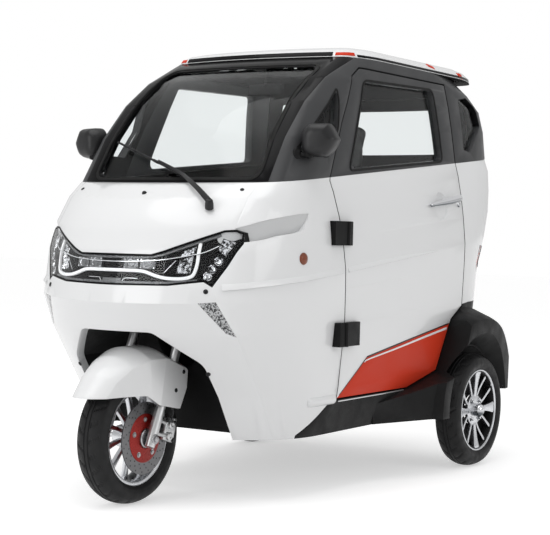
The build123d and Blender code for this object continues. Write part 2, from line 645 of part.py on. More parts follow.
# ---------------------------------------------------------------- front wheel arch
LINER_THICKNESS = 5
LINER_START = -60
LINER_END = 300
LINER_BOTTOM = 232
STEERING_HOLE_RADIUS = 150
arch_face = make_face(loop(ARCH_OUTLINE))
liner_face = offset(arch_face, amount=LINER_THICKNESS, kind=Kind.INTERSECTION)
liner = face_tunnel(liner_face, LINER_START, LINER_END + LINER_THICKNESS)
liner -= face_tunnel(arch_face, LINER_START, LINER_END)
liner = liner & lower_inner & block((-BODY_HALF, BODY_HALF), (LINER_START, LINER_END + WALL),
                                    (LINER_BOTTOM, BODY_HALF))
liner -= rod(steer(0), steer(CLAMP_START), STEERING_HOLE_RADIUS)
parts["wheel_arch_liner"] = liner - parts["nose_mask"]

# ---------------------------------------------------------------- cabin fittings
DASHBOARD = ((-380, 380), (236, 372), (930, 1000))
COLUMN_HOLE_RADIUS = 60
SEAT_BASE = ((-205, 205), (880, 1250), (430, 620))
BENCH_BASE = ((-330, 330), (1440, 1760), (480, 640))
BACKREST_LEAN = 10


def backrest(width, thickness, height, distance, centre_height):
    """A padded slab that leans back."""
    slab = Box(width, thickness, height)
    return Pos(0, back(distance), centre_height) * Rot(-BACKREST_LEAN, 0, 0) * slab


dash = block(*DASHBOARD) - rod(steer(HEAD_TUBE_START), steer(BAR_START), COLUMN_HOLE_RADIUS)
parts["dashboard"] = dash & lower_inner
seat_back = backrest(400, 90, 560, 1255, 900) + backrest(230, 80, 170, 1300, 1275)
parts["driver_seat"] = block(*SEAT_BASE) + seat_back
parts["rear_bench"] = block(*BENCH_BASE) + backrest(660, 80, 420, 1790, 860)

# ---------------------------------------------------------------- mirrors and wiper
MIRROR_CENTRE = (510, 384, 1265)
MIRROR_SIZE = (132, 78, 118)
MIRROR_TURN = 16
MIRROR_CORNER = 30
MIRROR_ARM = ((430, 350, 1212), (500, 378, 1222))
MIRROR_ARM_RADIUS = 11
# columns: start, end and radius of each round bar: pivot, arm, arm's tip, blade
WIPER_RODS = (
    ((288, 44, 1021), (296, 31, 1043), 15),
    ((294, 34, 1038), (67, 186, 1127), 6),
    ((67, 186, 1127), (-60, 222, 1181), 5),
    ((-298, 291, 1260), (120, 186, 1115), 5),
)


def place(point):
    """A point of the vehicle from (x, distance behind the front axle, height)."""
    return (point[0], back(point[1]), point[2])


mirror_head = Pos(*place(MIRROR_CENTRE)) * Rot(0, 0, MIRROR_TURN) * Box(*MIRROR_SIZE)
mirror_head = fillet(mirror_head.edges(), MIRROR_CORNER)
mirror_arm = rod(place(MIRROR_ARM[0]), place(MIRROR_ARM[1]), MIRROR_ARM_RADIUS)
parts["mirrors"] = both_sides((mirror_head + mirror_arm) - upper_outer)
wiper_rods = [rod(place(start), place(end), radius) for start, end, radius in WIPER_RODS]
parts["wiper"] = Part() + wiper_rods - parts["bonnet"]

# ---------------------------------------------------------------- door hinges and handles
DOOR_HINGE_X = 529
DOOR_HINGE_BACK = 568
HINGE_BARREL_RADIUS = 8
HINGE_LENGTH = 86
HINGE_PLATE_X = (480, 522)
HINGE_WEB_X = (518, DOOR_HINGE_X)
HINGE_PIN_GAP = 11
# columns: height, reach of the body's leaf ahead of the pin, reach of the door's strap behind it
DOOR_HINGES = ((583, 44, 112), (944, 92, 44))
# the space a strap must leave free where it crosses the body ahead of the door
STRAP_GAP = ((400, 512), (500, 606), (500, 700))
HANDLE_BAR = ((505, 520), (1262, 1486), (1066, 1092))
HANDLE_CENTRE = (512, 1374, 1079)
HANDLE_TILT = 6
HANDLE_FEET = (((470, 510), (1262, 1292), (1070, 1088)), ((470, 510), (1456, 1486), (1070, 1088)))

hinge_leaves = []
hinge_straps = []
for height, leaf_reach, strap_reach in DOOR_HINGES:
    span = (height - HINGE_LENGTH / 2, height + HINGE_LENGTH / 2)
    leaf = block(HINGE_PLATE_X, (DOOR_HINGE_BACK - leaf_reach, DOOR_HINGE_BACK - GAP), span)
    web = block(HINGE_WEB_X, (DOOR_HINGE_BACK - leaf_reach, DOOR_HINGE_BACK), span)
    barrel = Pos(*place((DOOR_HINGE_X, DOOR_HINGE_BACK, height))) * Cylinder(
        HINGE_BARREL_RADIUS, HINGE_LENGTH)
    strap = block(HINGE_PLATE_X, (DOOR_HINGE_BACK + HINGE_PIN_GAP, DOOR_HINGE_BACK + strap_reach), span)
    hinge_leaves.append((leaf - lower_outer - door_opening) + web + barrel)
    hinge_straps.append(strap - lower_outer - block(*STRAP_GAP))
parts["hinge_leaves"] = both_sides(hinge_leaves[0] + hinge_leaves[1])
left_door["hinge_strap"] = hinge_straps[0] + hinge_straps[1]
handle = block(*HANDLE_BAR)
for foot in HANDLE_FEET:
    handle += block(*foot)
handle = handle.rotate(Axis(place(HANDLE_CENTRE), (1, 0, 0)), HANDLE_TILT)
left_door["door_handle"] = handle - lower_outer
for name, piece in left_door.items():
    parts[f"{name}_left"] = piece
    parts[f"{name}_right"] = mirror(piece, about=Plane.YZ)

# ---------------------------------------------------------------- rear plate bracket
# a flat plate that stands off the rear bumper, with four holes for a number plate
BRACKET_PLATE = ((-100, 100), (1890, 1894), (425, 555))
BRACKET_FOOT = ((40, 60), (1840, 1892), (470, 510))
BRACKET_HOLE_RADIUS = 3.3
BRACKET_HOLE_SPACING = (145, 90)
bracket = block(*BRACKET_PLATE) + both_sides(block(*BRACKET_FOOT))
bracket_height = sum(BRACKET_PLATE[2]) / 2
for x in (-BRACKET_HOLE_SPACING[0] / 2, BRACKET_HOLE_SPACING[0] / 2):
    for z in (-BRACKET_HOLE_SPACING[1] / 2, BRACKET_HOLE_SPACING[1] / 2):
        hole = Pos(*place((x, BRACKET_PLATE[1][0], bracket_height + z)))
        bracket -= hole * Rot(90, 0, 0) * Cylinder(BRACKET_HOLE_RADIUS, WALL)
parts["plate_bracket"] = bracket - lower_outer

# ---------------------------------------------------------------- files
os.makedirs("parts", exist_ok=True)
for name, piece in parts.items():
    export_step(solids(piece), f"parts/{name}.step")
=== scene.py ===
# %% [markdown]
# # An enclosed three-wheeled car
#
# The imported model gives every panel, wheel and frame piece its real shape and place.
# This script loads it as a fixed frame, gives each piece a finish, and adds what a small
# car like this shows up close: lamps, wheels, seams, screws, seals, seats and controls.
# Everything is in metres: +X is the vehicle's left, -Y its front, +Z up, and z = 0 the ground.

# %% the frame and the tools
import math

import bmesh
import bpy
from mathutils import Matrix, Vector
from mathutils.bvhtree import BVHTree


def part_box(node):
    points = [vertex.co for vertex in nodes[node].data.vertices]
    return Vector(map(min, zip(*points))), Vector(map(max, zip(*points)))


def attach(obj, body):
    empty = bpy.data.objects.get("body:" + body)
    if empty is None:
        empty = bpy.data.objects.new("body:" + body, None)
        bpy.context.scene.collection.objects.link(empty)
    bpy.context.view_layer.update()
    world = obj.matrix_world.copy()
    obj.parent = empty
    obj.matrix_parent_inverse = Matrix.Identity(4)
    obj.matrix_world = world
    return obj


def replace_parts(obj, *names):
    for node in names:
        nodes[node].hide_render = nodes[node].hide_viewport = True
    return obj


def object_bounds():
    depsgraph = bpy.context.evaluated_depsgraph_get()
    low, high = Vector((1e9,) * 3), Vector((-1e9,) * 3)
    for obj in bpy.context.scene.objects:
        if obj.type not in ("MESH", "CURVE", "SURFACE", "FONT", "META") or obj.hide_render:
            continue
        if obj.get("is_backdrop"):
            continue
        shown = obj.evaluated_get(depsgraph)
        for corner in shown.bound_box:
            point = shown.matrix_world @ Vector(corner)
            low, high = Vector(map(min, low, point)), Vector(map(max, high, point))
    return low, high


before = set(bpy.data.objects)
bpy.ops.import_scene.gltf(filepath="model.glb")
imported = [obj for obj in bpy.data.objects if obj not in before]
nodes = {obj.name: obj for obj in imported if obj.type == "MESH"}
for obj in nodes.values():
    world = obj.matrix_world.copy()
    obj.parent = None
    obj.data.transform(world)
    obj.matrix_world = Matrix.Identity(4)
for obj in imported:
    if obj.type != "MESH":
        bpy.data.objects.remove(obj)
cad_low, cad_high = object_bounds()
print("frame:", len(nodes), "nodes,", [round(v, 3) for v in (*cad_low, *cad_high)])

# %% [markdown]
# Lengths along the vehicle are easiest to give as distances behind the front axle, so one
# small function turns such a place into the frame's own coordinates.

# %% places
FRONT_AXLE_Y = -0.869
WHEEL_RADIUS = 0.23
REAR_AXLE_Y = 0.731
HALF_TRACK = 0.53


def at(x, distance, z):
    """A point from its x, its distance behind the front axle and its height."""
    return Vector((x, FRONT_AXLE_Y + distance, z))


# %% [markdown]
# ## Finishes
#
# Each finish is a node material. Its colour and the numbers that are the same all over sit
# on the Principled shader itself. What varies, such as fine grain or the slight waviness of
# paint, comes from noise on Object coordinates, so it stays put on the piece from any side.

# %% a base material with noise in its roughness and its bump
def finish_material(name, colour, roughness, metallic=0.0, coat=0.0, coat_roughness=0.05,
                    grain=0.0, grain_size=0.001, vary=0.0, vary_size=0.05, specular=0.5):
    """A Principled material with fine grain as bump and slow variation in its roughness."""
    material = bpy.data.materials.new(name)
    material.use_nodes = True
    tree = material.node_tree
    shader = tree.nodes["Principled BSDF"]
    shader.inputs["Base Color"].default_value = (*colour, 1)
    shader.inputs["Roughness"].default_value = roughness
    shader.inputs["Metallic"].default_value = metallic
    shader.inputs["Coat Weight"].default_value = coat
    shader.inputs["Coat Roughness"].default_value = coat_roughness
    shader.inputs["Specular IOR Level"].default_value = specular
    place = tree.nodes.new("ShaderNodeTexCoord")
    if vary:
        clouds = tree.nodes.new("ShaderNodeTexNoise")
        clouds.inputs["Scale"].default_value = 1 / vary_size
        clouds.inputs["Detail"].default_value = 4
        level = tree.nodes.new("ShaderNodeMapRange")
        level.inputs["From Min"].default_value = 0.3
        level.inputs["From Max"].default_value = 0.7
        level.inputs["To Min"].default_value = max(roughness - vary, 0.02)
        level.inputs["To Max"].default_value = roughness + vary
        tree.links.new(place.outputs["Object"], clouds.inputs["Vector"])
        tree.links.new(clouds.outputs["Fac"], level.inputs["Value"])
        tree.links.new(level.outputs["Result"], shader.inputs["Roughness"])
    if grain:
        speckle = tree.nodes.new("ShaderNodeTexNoise")
        speckle.inputs["Scale"].default_value = 1 / grain_size
        speckle.inputs["Detail"].default_value = 2
        bump = tree.nodes.new("ShaderNodeBump")
        bump.inputs["Strength"].default_value = grain
        bump.inputs["Distance"].default_value = grain_size / 2
        tree.links.new(place.outputs["Object"], speckle.inputs["Vector"])
        tree.links.new(speckle.outputs["Fac"], bump.inputs["Height"])
        tree.links.new(bump.outputs["Normal"], shader.inputs["Normal"])
    return material


# %% [markdown]
# Body paint is a smooth colour under a clear coat. The coat's faint orange peel is a very
# low bump a few millimetres across. Moulded plastic is the opposite: a dull surface with a
# grain of about a millimetre, so its highlight breaks up.

# %% paints and plastics
white_paint = finish_material("white_paint", (0.80, 0.805, 0.81), 0.30, coat=0.6, coat_roughness=0.06,
                              grain=0.02, grain_size=0.006, vary=0.02, vary_size=0.3, specular=0.4)
red_paint = finish_material("red_paint", (0.60, 0.043, 0.017), 0.42, coat=0.04, coat_roughness=0.12,
                            grain=0.03, grain_size=0.006, vary=0.05, vary_size=0.15, specular=0.10)
black_gloss = finish_material("black_gloss", (0.006, 0.006, 0.0065), 0.16, grain=0.02, grain_size=0.006,
                              vary=0.05, vary_size=0.1, specular=0.09)
frame_grey = finish_material("frame_grey", (0.045, 0.046, 0.048), 0.40, grain=0.12, grain_size=0.0015,
                             vary=0.08, vary_size=0.08, specular=0.28)
black_plastic = finish_material("black_plastic", (0.008, 0.008, 0.0083), 0.50, grain=0.25,
                                grain_size=0.0014, vary=0.1, vary_size=0.06, specular=0.14)
dark_trim = finish_material("dark_trim", (0.012, 0.012, 0.013), 0.35, grain=0.1, grain_size=0.001,
                            vary=0.08, vary_size=0.05, specular=0.3)
seal_rubber = finish_material("seal_rubber", (0.007, 0.007, 0.007), 0.6, grain=0.2, grain_size=0.001,
                              vary=0.08, vary_size=0.03, specular=0.2)
tyre_rubber = finish_material("tyre_rubber", (0.009, 0.009, 0.0095), 0.55, grain=0.3, grain_size=0.0012,
                              vary=0.12, vary_size=0.03, specular=0.25)

# %% metals
def paint_ground_reflection(material, low_colour, high_colour, low, high):
    """Paint a reflection into a metal's colour: darker where its surface faces down, as if the dark ground
    were mirrored in it.
    """
    tree = material.node_tree
    place = tree.nodes.new("ShaderNodeTexCoord")
    parts = tree.nodes.new("ShaderNodeSeparateXYZ")
    upward = tree.nodes.new("ShaderNodeMapRange")
    upward.inputs["From Min"].default_value = -1
    ramp = tree.nodes.new("ShaderNodeValToRGB")
    ramp.color_ramp.elements[0].position = low
    ramp.color_ramp.elements[0].color = (*low_colour, 1)
    ramp.color_ramp.elements[1].position = high
    ramp.color_ramp.elements[1].color = (*high_colour, 1)
    tree.links.new(place.outputs["Normal"], parts.inputs["Vector"])
    tree.links.new(parts.outputs["Z"], upward.inputs["Value"])
    tree.links.new(upward.outputs["Result"], ramp.inputs["Fac"])
    tree.links.new(ramp.outputs["Color"], tree.nodes["Principled BSDF"].inputs["Base Color"])


chrome = finish_material("chrome_trim", (0.86, 0.87, 0.89), 0.09, metallic=1.0, vary=0.03, vary_size=0.04)
# Chrome's colour carries a painted reflection: dark on faces turned down, bright on faces turned up.
paint_ground_reflection(chrome, (0.10, 0.11, 0.12), (0.86, 0.87, 0.89), 0.30, 0.62)
cast_alloy = finish_material("cast_alloy", (0.62, 0.63, 0.65), 0.30, metallic=1.0, grain=0.08,
                             grain_size=0.0015, vary=0.08, vary_size=0.04)
fork_silver = finish_material("fork_silver", (0.60, 0.605, 0.61), 0.34, metallic=0.85, grain=0.08,
                              grain_size=0.001, vary=0.08, vary_size=0.03)
disc_steel = finish_material("disc_steel", (0.17, 0.17, 0.175), 0.34, metallic=1.0, grain=0.15,
                             grain_size=0.0006, vary=0.08, vary_size=0.01)
frame_steel = finish_material("frame_steel", (0.02, 0.02, 0.021), 0.45, grain=0.15, grain_size=0.002,
                              vary=0.12, vary_size=0.03)
spring_steel = finish_material("spring_steel", (0.04, 0.04, 0.043), 0.38, metallic=0.4, grain=0.1,
                               grain_size=0.001, vary=0.08, vary_size=0.02)
bolt_steel = finish_material("bolt_steel", (0.40, 0.40, 0.41), 0.32, metallic=1.0, vary=0.08,
                             vary_size=0.01)
battery_case = finish_material("battery_case", (0.05, 0.055, 0.06), 0.55, grain=0.3, grain_size=0.002,
                               vary=0.1, vary_size=0.05)


# %% [markdown]
# Safety glass is clear with a slight grey-green cast. Lamp lenses are clear plastic, and
# the rear ones are tinted red through and through.

# %% glass and lenses
def clear_material(name, colour, roughness, ior, vary=0.004):
    """A transmissive material whose surface has faint smears."""
    material = finish_material(name, colour, roughness, vary=vary, vary_size=0.15)
    shader = material.node_tree.nodes["Principled BSDF"]
    shader.inputs["Transmission Weight"].default_value = 1.0
    shader.inputs["IOR"].default_value = ior
    return material


cabin_glass = clear_material("cabin_glass", (0.90, 0.92, 0.92), 0.01, 1.15)
lamp_lens = clear_material("lamp_lens", (0.97, 0.975, 0.98), 0.02, 1.18)
red_lens = clear_material("red_lens", (0.75, 0.02, 0.015), 0.06, 1.45)


# %% reflector cells with painted glints
def glint_cell_material(name, dark, bright, cell):
    """Bright metal whose colour is painted cell by cell from dark to bright: painted glints for small pressed
    cells that each catch the light differently.
    """
    material = finish_material(name, bright, 0.12, metallic=1.0, coat=0.6, coat_roughness=0.03)
    tree = material.node_tree
    place = tree.nodes.new("ShaderNodeTexCoord")
    cells = tree.nodes.new("ShaderNodeTexVoronoi")
    cells.inputs["Scale"].default_value = 1 / cell
    ramp = tree.nodes.new("ShaderNodeValToRGB")
    ramp.color_ramp.elements[0].position = 0.30
    ramp.color_ramp.elements[0].color = (*dark, 1)
    ramp.color_ramp.elements[1].position = 0.62
    ramp.color_ramp.elements[1].color = (*bright, 1)
    tree.links.new(place.outputs["Object"], cells.inputs["Vector"])
    tree.links.new(cells.outputs["Color"], ramp.inputs["Fac"])
    tree.links.new(ramp.outputs["Color"], tree.nodes["Principled BSDF"].inputs["Base Color"])
    return material


# Each cell's brightness is a painted glint, not the metal's own colour.
glint_cells = glint_cell_material("glint_cells", (0.02, 0.02, 0.022), (0.80, 0.81, 0.83), 0.0075)
fine_glint_cells = glint_cell_material("fine_glint_cells", (0.03, 0.03, 0.032), (0.34, 0.345, 0.35), 0.0042)
print("finishes:", len(bpy.data.materials))

# %% [markdown]
# ## The carried-over panels
#
# Each CAD node keeps its shape and gets its finish. The panels were lofted in bands, so a
# small Geometry Nodes group welds their triangles and shades them smooth wherever two
# faces meet at less than a set angle. Real corners stay sharp. A fine bevel then rounds each
# panel's edge, and two such edges side by side read as the seam between two mouldings.

# %% one group that welds and shades
def shading_group(limit_degrees):
    """A Geometry Nodes group: weld the triangles, then smooth all but the sharp edges."""
    group = bpy.data.node_groups.new(f"panel_shading_{limit_degrees}", "GeometryNodeTree")
    group.interface.new_socket("Geometry", in_out="INPUT", socket_type="NodeSocketGeometry")
    group.interface.new_socket("Geometry", in_out="OUTPUT", socket_type="NodeSocketGeometry")
    start = group.nodes.new("NodeGroupInput")
    end = group.nodes.new("NodeGroupOutput")
    forget = group.nodes.new("GeometryNodeRemoveAttribute")
    forget.inputs["Name"].default_value = "custom_normal"
    smooth = group.nodes.new("GeometryNodeSetShadeSmooth")
    sharp = group.nodes.new("GeometryNodeSetShadeSmooth")
    sharp.domain = "EDGE"
    sharp.inputs["Shade Smooth"].default_value = False
    angle = group.nodes.new("GeometryNodeInputMeshEdgeAngle")
    compare = group.nodes.new("FunctionNodeCompare")
    compare.data_type = "FLOAT"
    compare.operation = "GREATER_THAN"
    compare.inputs["B"].default_value = math.radians(limit_degrees)
    link = group.links.new
    link(start.outputs["Geometry"], forget.inputs["Geometry"])
    link(forget.outputs["Geometry"], smooth.inputs["Geometry"])
    link(smooth.outputs["Geometry"], sharp.inputs["Geometry"])
    link(angle.outputs["Unsigned Angle"], compare.inputs["A"])
    link(compare.outputs["Result"], sharp.inputs["Selection"])
    link(sharp.outputs["Geometry"], end.inputs["Geometry"])
    return group


shade_30 = shading_group(30)


def dress(piece, material, bevel=0.0, group=shade_30):
    """Give a piece its finish, weld it, round its edges and shade it."""
    piece.data.materials.clear()
    piece.data.materials.append(material)
    weld = piece.modifiers.new("weld", "WELD")
    weld.merge_threshold = 0.00002
    if bevel:
        rounding = piece.modifiers.new("rounding", "BEVEL")
        rounding.width = bevel
        rounding.segments = 2
        rounding.limit_method = "ANGLE"
        rounding.angle_limit = math.radians(40)
        rounding.miter_outer = "MITER_ARC"
    shading = piece.modifiers.new("shading", "NODES")
    shading.node_group = group


# %% finishes by node
NODE_FINISHES = (
    # nodes, finish, edge rounding
    (("nose_mask", "bonnet", "front_quarters", "rear_quarters", "rear_panel", "roof_panel",
      "tailgate", "door_shell_left", "door_shell_right"), white_paint, 0.0016),
    (("front_mudguard",), white_paint, 0.0010),
    (("door_trim_left", "door_trim_right"), red_paint, 0.0016),
    (("windscreen_frame", "headlamp_unit"), black_gloss, 0.0016),
    (("door_frame_left", "door_frame_right", "cab_side_frames"), frame_grey, 0.0020),
    (("side_skirts", "wheel_housings", "wheel_arch_liner", "rear_bumper", "hinge_leaves",
      "hinge_strap_left", "hinge_strap_right", "mirrors", "wiper", "dashboard", "tailgate_hinges",
      "plate_bracket"), black_plastic, 0.0015),
    (("windscreen_glass", "quarter_glass", "rear_glass", "door_glass_left", "door_glass_right"),
     cabin_glass, 0.0),
    (("lower_lamps",), fine_glint_cells, 0.0015),
    (("tail_lamps",), red_lens, 0.0015),
    (("door_handle_left", "door_handle_right"), chrome, 0.0030),
    (("front_rim", "rear_rim_left", "rear_rim_right"), cast_alloy, 0.0015),
    (("front_fork", "brake_caliper"), fork_silver, 0.0010),
    (("brake_disc",), disc_steel, 0.0),
    (("front_tyre", "rear_tyre_left", "rear_tyre_right"), tyre_rubber, 0.0),
    (("chassis", "rear_axle", "handlebar"), frame_steel, 0.0010),
    (("battery_box",), battery_case, 0.0060),
    (("shock_absorbers",), spring_steel, 0.0),
    (("driver_seat", "rear_bench"), black_plastic, 0.0),
)
for names, material, bevel in NODE_FINISHES:
    for name in names:
        dress(nodes[name], material, bevel)
undressed = sorted(set(nodes) - {name for names, _, _ in NODE_FINISHES for name in names})
print("nodes without a finish:", undressed)
nodes["front_mudguard"].modifiers["shading"].node_group = shading_group(62)

# %% [markdown]
# ## Tools for the new pieces
#
# Every added piece is made the same way. Mesh operators make its shape, and one function
# welds it, turns its normals outward, gives it a finish and lets it ride on a body. Places
# on the curved panels are found by shooting a ray at them, so nothing hangs in the air.

# %% finishing a new piece
SIDES = ((1, "left"), (-1, "right"))


def new_piece(name, bm, material, body, bevel=0.0):
    """Turn a bmesh into a dressed piece that rides on a body."""
    bmesh.ops.remove_doubles(bm, verts=bm.verts, dist=0.00001)
    bmesh.ops.recalc_face_normals(bm, faces=bm.faces)
    data = bpy.data.meshes.new(name)
    bm.to_mesh(data)
    bm.free()
    piece = bpy.data.objects.new(name, data)
    bpy.context.scene.collection.objects.link(piece)
    dress(piece, material, bevel)
    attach(piece, body)
    return piece


def carve(name, node, cutter, material, body, bevel=0.0016):
    """A copy of a CAD node with a closed cutter taken out of it, which stands for the node."""
    bmesh.ops.recalc_face_normals(cutter, faces=cutter.faces)
    shapes = []
    for bm in (copy_of(node), cutter):
        data = bpy.data.meshes.new("carving")
        bm.to_mesh(data)
        bm.free()
        shape = bpy.data.objects.new("carving", data)
        bpy.context.scene.collection.objects.link(shape)
        shapes.append(shape)
    cut = shapes[0].modifiers.new("cut", "BOOLEAN")
    cut.operation = "DIFFERENCE"
    cut.solver = "EXACT"
    cut.object = shapes[1]
    bpy.context.view_layer.update()
    carved = bmesh.new()
    carved.from_object(shapes[0], bpy.context.evaluated_depsgraph_get())
    for shape in shapes:
        bpy.data.objects.remove(shape)
    piece = new_piece(name, carved, material, body, bevel)
    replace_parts(piece, node)
    return piece


def copy_of(node):
    """A merged bmesh copy of a CAD node, in the frame's coordinates."""
    bm = bmesh.new()
    bm.from_mesh(nodes[node].data)
    bm.transform(nodes[node].matrix_world)
    bmesh.ops.remove_doubles(bm, verts=bm.verts, dist=0.00002)
    return bm


# %% places on the curved panels
INWARD_FROM_FRONT = Vector((0, 1, 0))


def skin_of(*names):
    """A search tree of some CAD nodes' faces, in the frame's coordinates."""
    places = []
    faces = []
    for name in names:
        start = len(places)
        places += [nodes[name].matrix_world @ v.co for v in nodes[name].data.vertices]
        faces += [[start + index for index in face.vertices] for face in nodes[name].data.polygons]
    return BVHTree.FromPolygons(places, faces)


def meet(skin, point, direction):
    """The place and the outward normal where a line from outside first meets a skin."""
    place, normal, _, _ = skin.ray_cast(point - 2 * direction, direction)
    if place is None:
        raise ValueError(f"no panel lies at {[round(v, 3) for v in point]}")
    return place, (normal if normal.dot(direction) < 0 else -normal)


def facing(place, normal, up=Vector((0, 0, 1))):
    """A placing matrix with +Z along the normal and +Y as near to up as it can be."""
    z = normal.normalized()
    x = up.cross(z).normalized()
    return Matrix.Translation(place) @ Matrix((x, z.cross(x), z)).transposed().to_4x4()


# %% paths, bands and tubes
def smooth_path(points, steps=6, closed=False):
    """Places along a smooth curve through the given ones."""
    count = len(points)
    path = []
    for i in range(count if closed else count - 1):
        before = points[i - 1] if closed or i else points[0]
        start = points[i]
        end = points[(i + 1) % count]
        after = points[(i + 2) % count] if closed or i + 2 < count else end
        for k in range(steps):
            t = k / steps
            path.append(0.5 * (2 * start + (end - before) * t
                               + (2 * before - 5 * start + 4 * end - after) * t * t
                               + (3 * start - before - 3 * end + after) * t ** 3))
    return path if closed else path + [points[-1]]


def frames_on(path, ups, closed=False):
    """A placing matrix at each place of a path: +Z along the path, +Y towards its up."""
    frames = []
    count = len(path)
    for i, place in enumerate(path):
        ahead = path[(i + 1) % count] if closed or i + 1 < count else place
        behind = path[i - 1] if closed or i else place
        frames.append(facing(place, ahead - behind, ups[i]))
    return frames


def sweep(bm, frames, width, height, sides=4, closed=False):
    """Carry a ring of that width and height along a row of frames. Four sides make a flat band."""
    spread = math.sqrt(2) if sides == 4 else 1
    shape = Matrix.Diagonal((width / 2 * spread, height / 2 * spread, 1, 1))
    shape = shape @ Matrix.Rotation(math.pi / sides, 4, "Z")
    rings = []
    for place in frames:
        circle = bmesh.ops.create_circle(bm, segments=sides, radius=1, matrix=place @ shape)
        rings.append(list(dict.fromkeys(e for v in circle["verts"] for e in v.link_edges)))
    for start, end in zip(rings, rings[1:] + rings[:1] if closed else rings[1:]):
        bmesh.ops.bridge_loops(bm, edges=start + end)
    if not closed:
        for ring in (rings[0], rings[-1]):
            bmesh.ops.contextual_create(bm, geom=ring)


def tube(bm, points, diameter, sides=10, steps=6, closed=False):
    """A round rod or hose along a smooth curve through some places."""
    path = smooth_path(points, steps, closed)
    ups = [Vector((0.02, 0.01, 1))] * len(path)
    sweep(bm, frames_on(path, ups, closed), diameter, diameter, sides, closed)


# %% lines and places traced on the panels from one side
VIEWS = {
    # view: the place of a pair of lengths, and the way that the view looks
    "front": (lambda across, height: Vector((across, -2, height)), Vector((0, 1, 0))),
    "rear": (lambda across, height: Vector((across, 2, height)), Vector((0, -1, 0))),
    "left": (lambda distance, height: at(1.5, distance, height), Vector((-1, 0, 0))),
    "right": (lambda distance, height: at(-1.5, distance, height), Vector((1, 0, 0))),
    "above": (lambda across, distance: at(across, distance, 2.5), Vector((0, 0, -1))),
}


def spot_on(skin, view, pair, lift=0.0):
    """A place on a skin, or lifted off it, and its normal. Front, rear and above take an x first."""
    place_of, direction = VIEWS[view]
    place, normal = meet(skin, place_of(*pair), direction)
    return place + normal * lift, normal


def mount_on(skin, view, pair, lift=0.0):
    """A placing matrix that stands on a skin."""
    return facing(*spot_on(skin, view, pair, lift))


def trace(skin, view, pairs, lift=0.0, steps=6, closed=False):
    """Frames along a smooth line on a skin, drawn through some pairs of lengths."""
    flat = smooth_path([Vector((*pair, 0)) for pair in pairs], steps, closed)
    spots = [spot_on(skin, view, (point.x, point.y), lift) for point in flat]
    return frames_on([place for place, _ in spots], [normal for _, normal in spots], closed)


def straight(corners, pieces=6, closed=True):
    """Pairs of lengths along straight lines from corner to corner."""
    ends = corners[1:] + corners[:1] if closed else corners[1:]
    pairs = []
    for start, end in zip(corners, ends):
        pairs += [tuple(a + (b - a) * k / pieces for a, b in zip(start, end)) for k in range(pieces)]
    return pairs if closed else pairs + [corners[-1]]


def rounded(corners, radius, arc=4, pieces=6):
    """Pairs of lengths round a closed outline whose corners are cut to soft curves."""
    pairs = []
    count = len(corners)
    for i, corner in enumerate(corners):
        here, before, after = Vector(corner), Vector(corners[i - 1]), Vector(corners[(i + 1) % count])
        start = here + (before - here).normalized() * radius
        end = here + (after - here).normalized() * radius
        for k in range(arc + 1):
            t = k / arc
            pairs.append(tuple(start * (1 - t) ** 2 + here * 2 * t * (1 - t) + end * t * t))
        following = after + (here - after).normalized() * radius
        pairs += [tuple(end.lerp(following, k / pieces)) for k in range(1, pieces)]
    return pairs


# %% turned shapes and screws
def lathe(bm, profile, place, steps=32, closed=False):
    """Spin an outline of (radius, height) points about the +Z axis of a placing matrix."""
    verts = [bm.verts.new(place @ Vector((radius, 0, height))) for radius, height in profile]
    edges = [bm.edges.new(pair) for pair in zip(verts, verts[1:])]
    if closed:
        edges.append(bm.edges.new((verts[-1], verts[0])))
    axis = place.to_3x3() @ Vector((0, 0, 1))
    bmesh.ops.spin(bm, geom=verts + edges, cent=place.translation, axis=axis,
                   angle=2 * math.pi, steps=steps, use_merge=True)


def slab(bm, size, place, bevel=0.0, segments=2):
    """A block of that size with rounded edges, centred on a placing matrix."""
    cube = bmesh.ops.create_cube(bm, size=1, matrix=place @ Matrix.Diagonal((*size, 1)))
    if bevel:
        edges = list(dict.fromkeys(e for v in cube["verts"] for e in v.link_edges))
        bmesh.ops.bevel(bm, geom=edges, offset=bevel, segments=segments, profile=0.5,
                        affect="EDGES", material=-1)


def socket_screw(bm, place, radius, height):
    """A button head with a hexagonal socket, standing on a placing matrix."""
    lathe(bm, ((0.45 * radius, height), (0.75 * radius, height), (0.95 * radius, 0.55 * height),
               (radius, -0.3 * height)), place, 20)
    lathe(bm, ((0.46 * radius, height), (0.45 * radius, 0.3 * height), (0.0, 0.25 * height)), place, 6)


def hex_bolt(bm, place, radius, height):
    """A hexagon head on a washer, standing on a placing matrix."""
    lathe(bm, ((0, 0.25 * height), (1.5 * radius, 0.25 * height), (1.55 * radius, 0.0)), place, 24)
    lathe(bm, ((0, height), (0.75 * radius, height), (0.9 * radius, 0.95 * height),
               (radius, 0.85 * height), (radius, 0.0)), place, 6)

# %% [markdown]
# ## Headlamp
#
# One wide unit crosses the nose. The solid is hollowed into a black basin with a thin rim,
# and a clear lens closes it, flush with the nose. Between them sit the white light line,
# two rectangular cells on each side, a faceted bowl beyond them, the corner reflectors,
# the turn lamps and a bare plaque.

# %% lamp materials
light_guide = finish_material("light_guide", (0.86, 0.87, 0.88), 0.35, grain=0.05, grain_size=0.002,
                              vary=0.05, vary_size=0.02)
light_guide.node_tree.nodes["Principled BSDF"].inputs["Emission Color"].default_value = (1, 1, 1, 1)
light_guide.node_tree.nodes["Principled BSDF"].inputs["Emission Strength"].default_value = 0.15
lamp_grey = finish_material("lamp_grey", (0.16, 0.165, 0.17), 0.32, metallic=0.5, grain=0.05,
                            grain_size=0.001, vary=0.06, vary_size=0.03)

# %% basin and lens
BASIN_DEPTH = 0.016
LAMP_RIM = 0.007
LENS_THICKNESS = 0.0025
lamp_skin = skin_of("headlamp_unit")
nose_skin = skin_of("headlamp_unit", "nose_mask", "front_quarters", "bonnet")


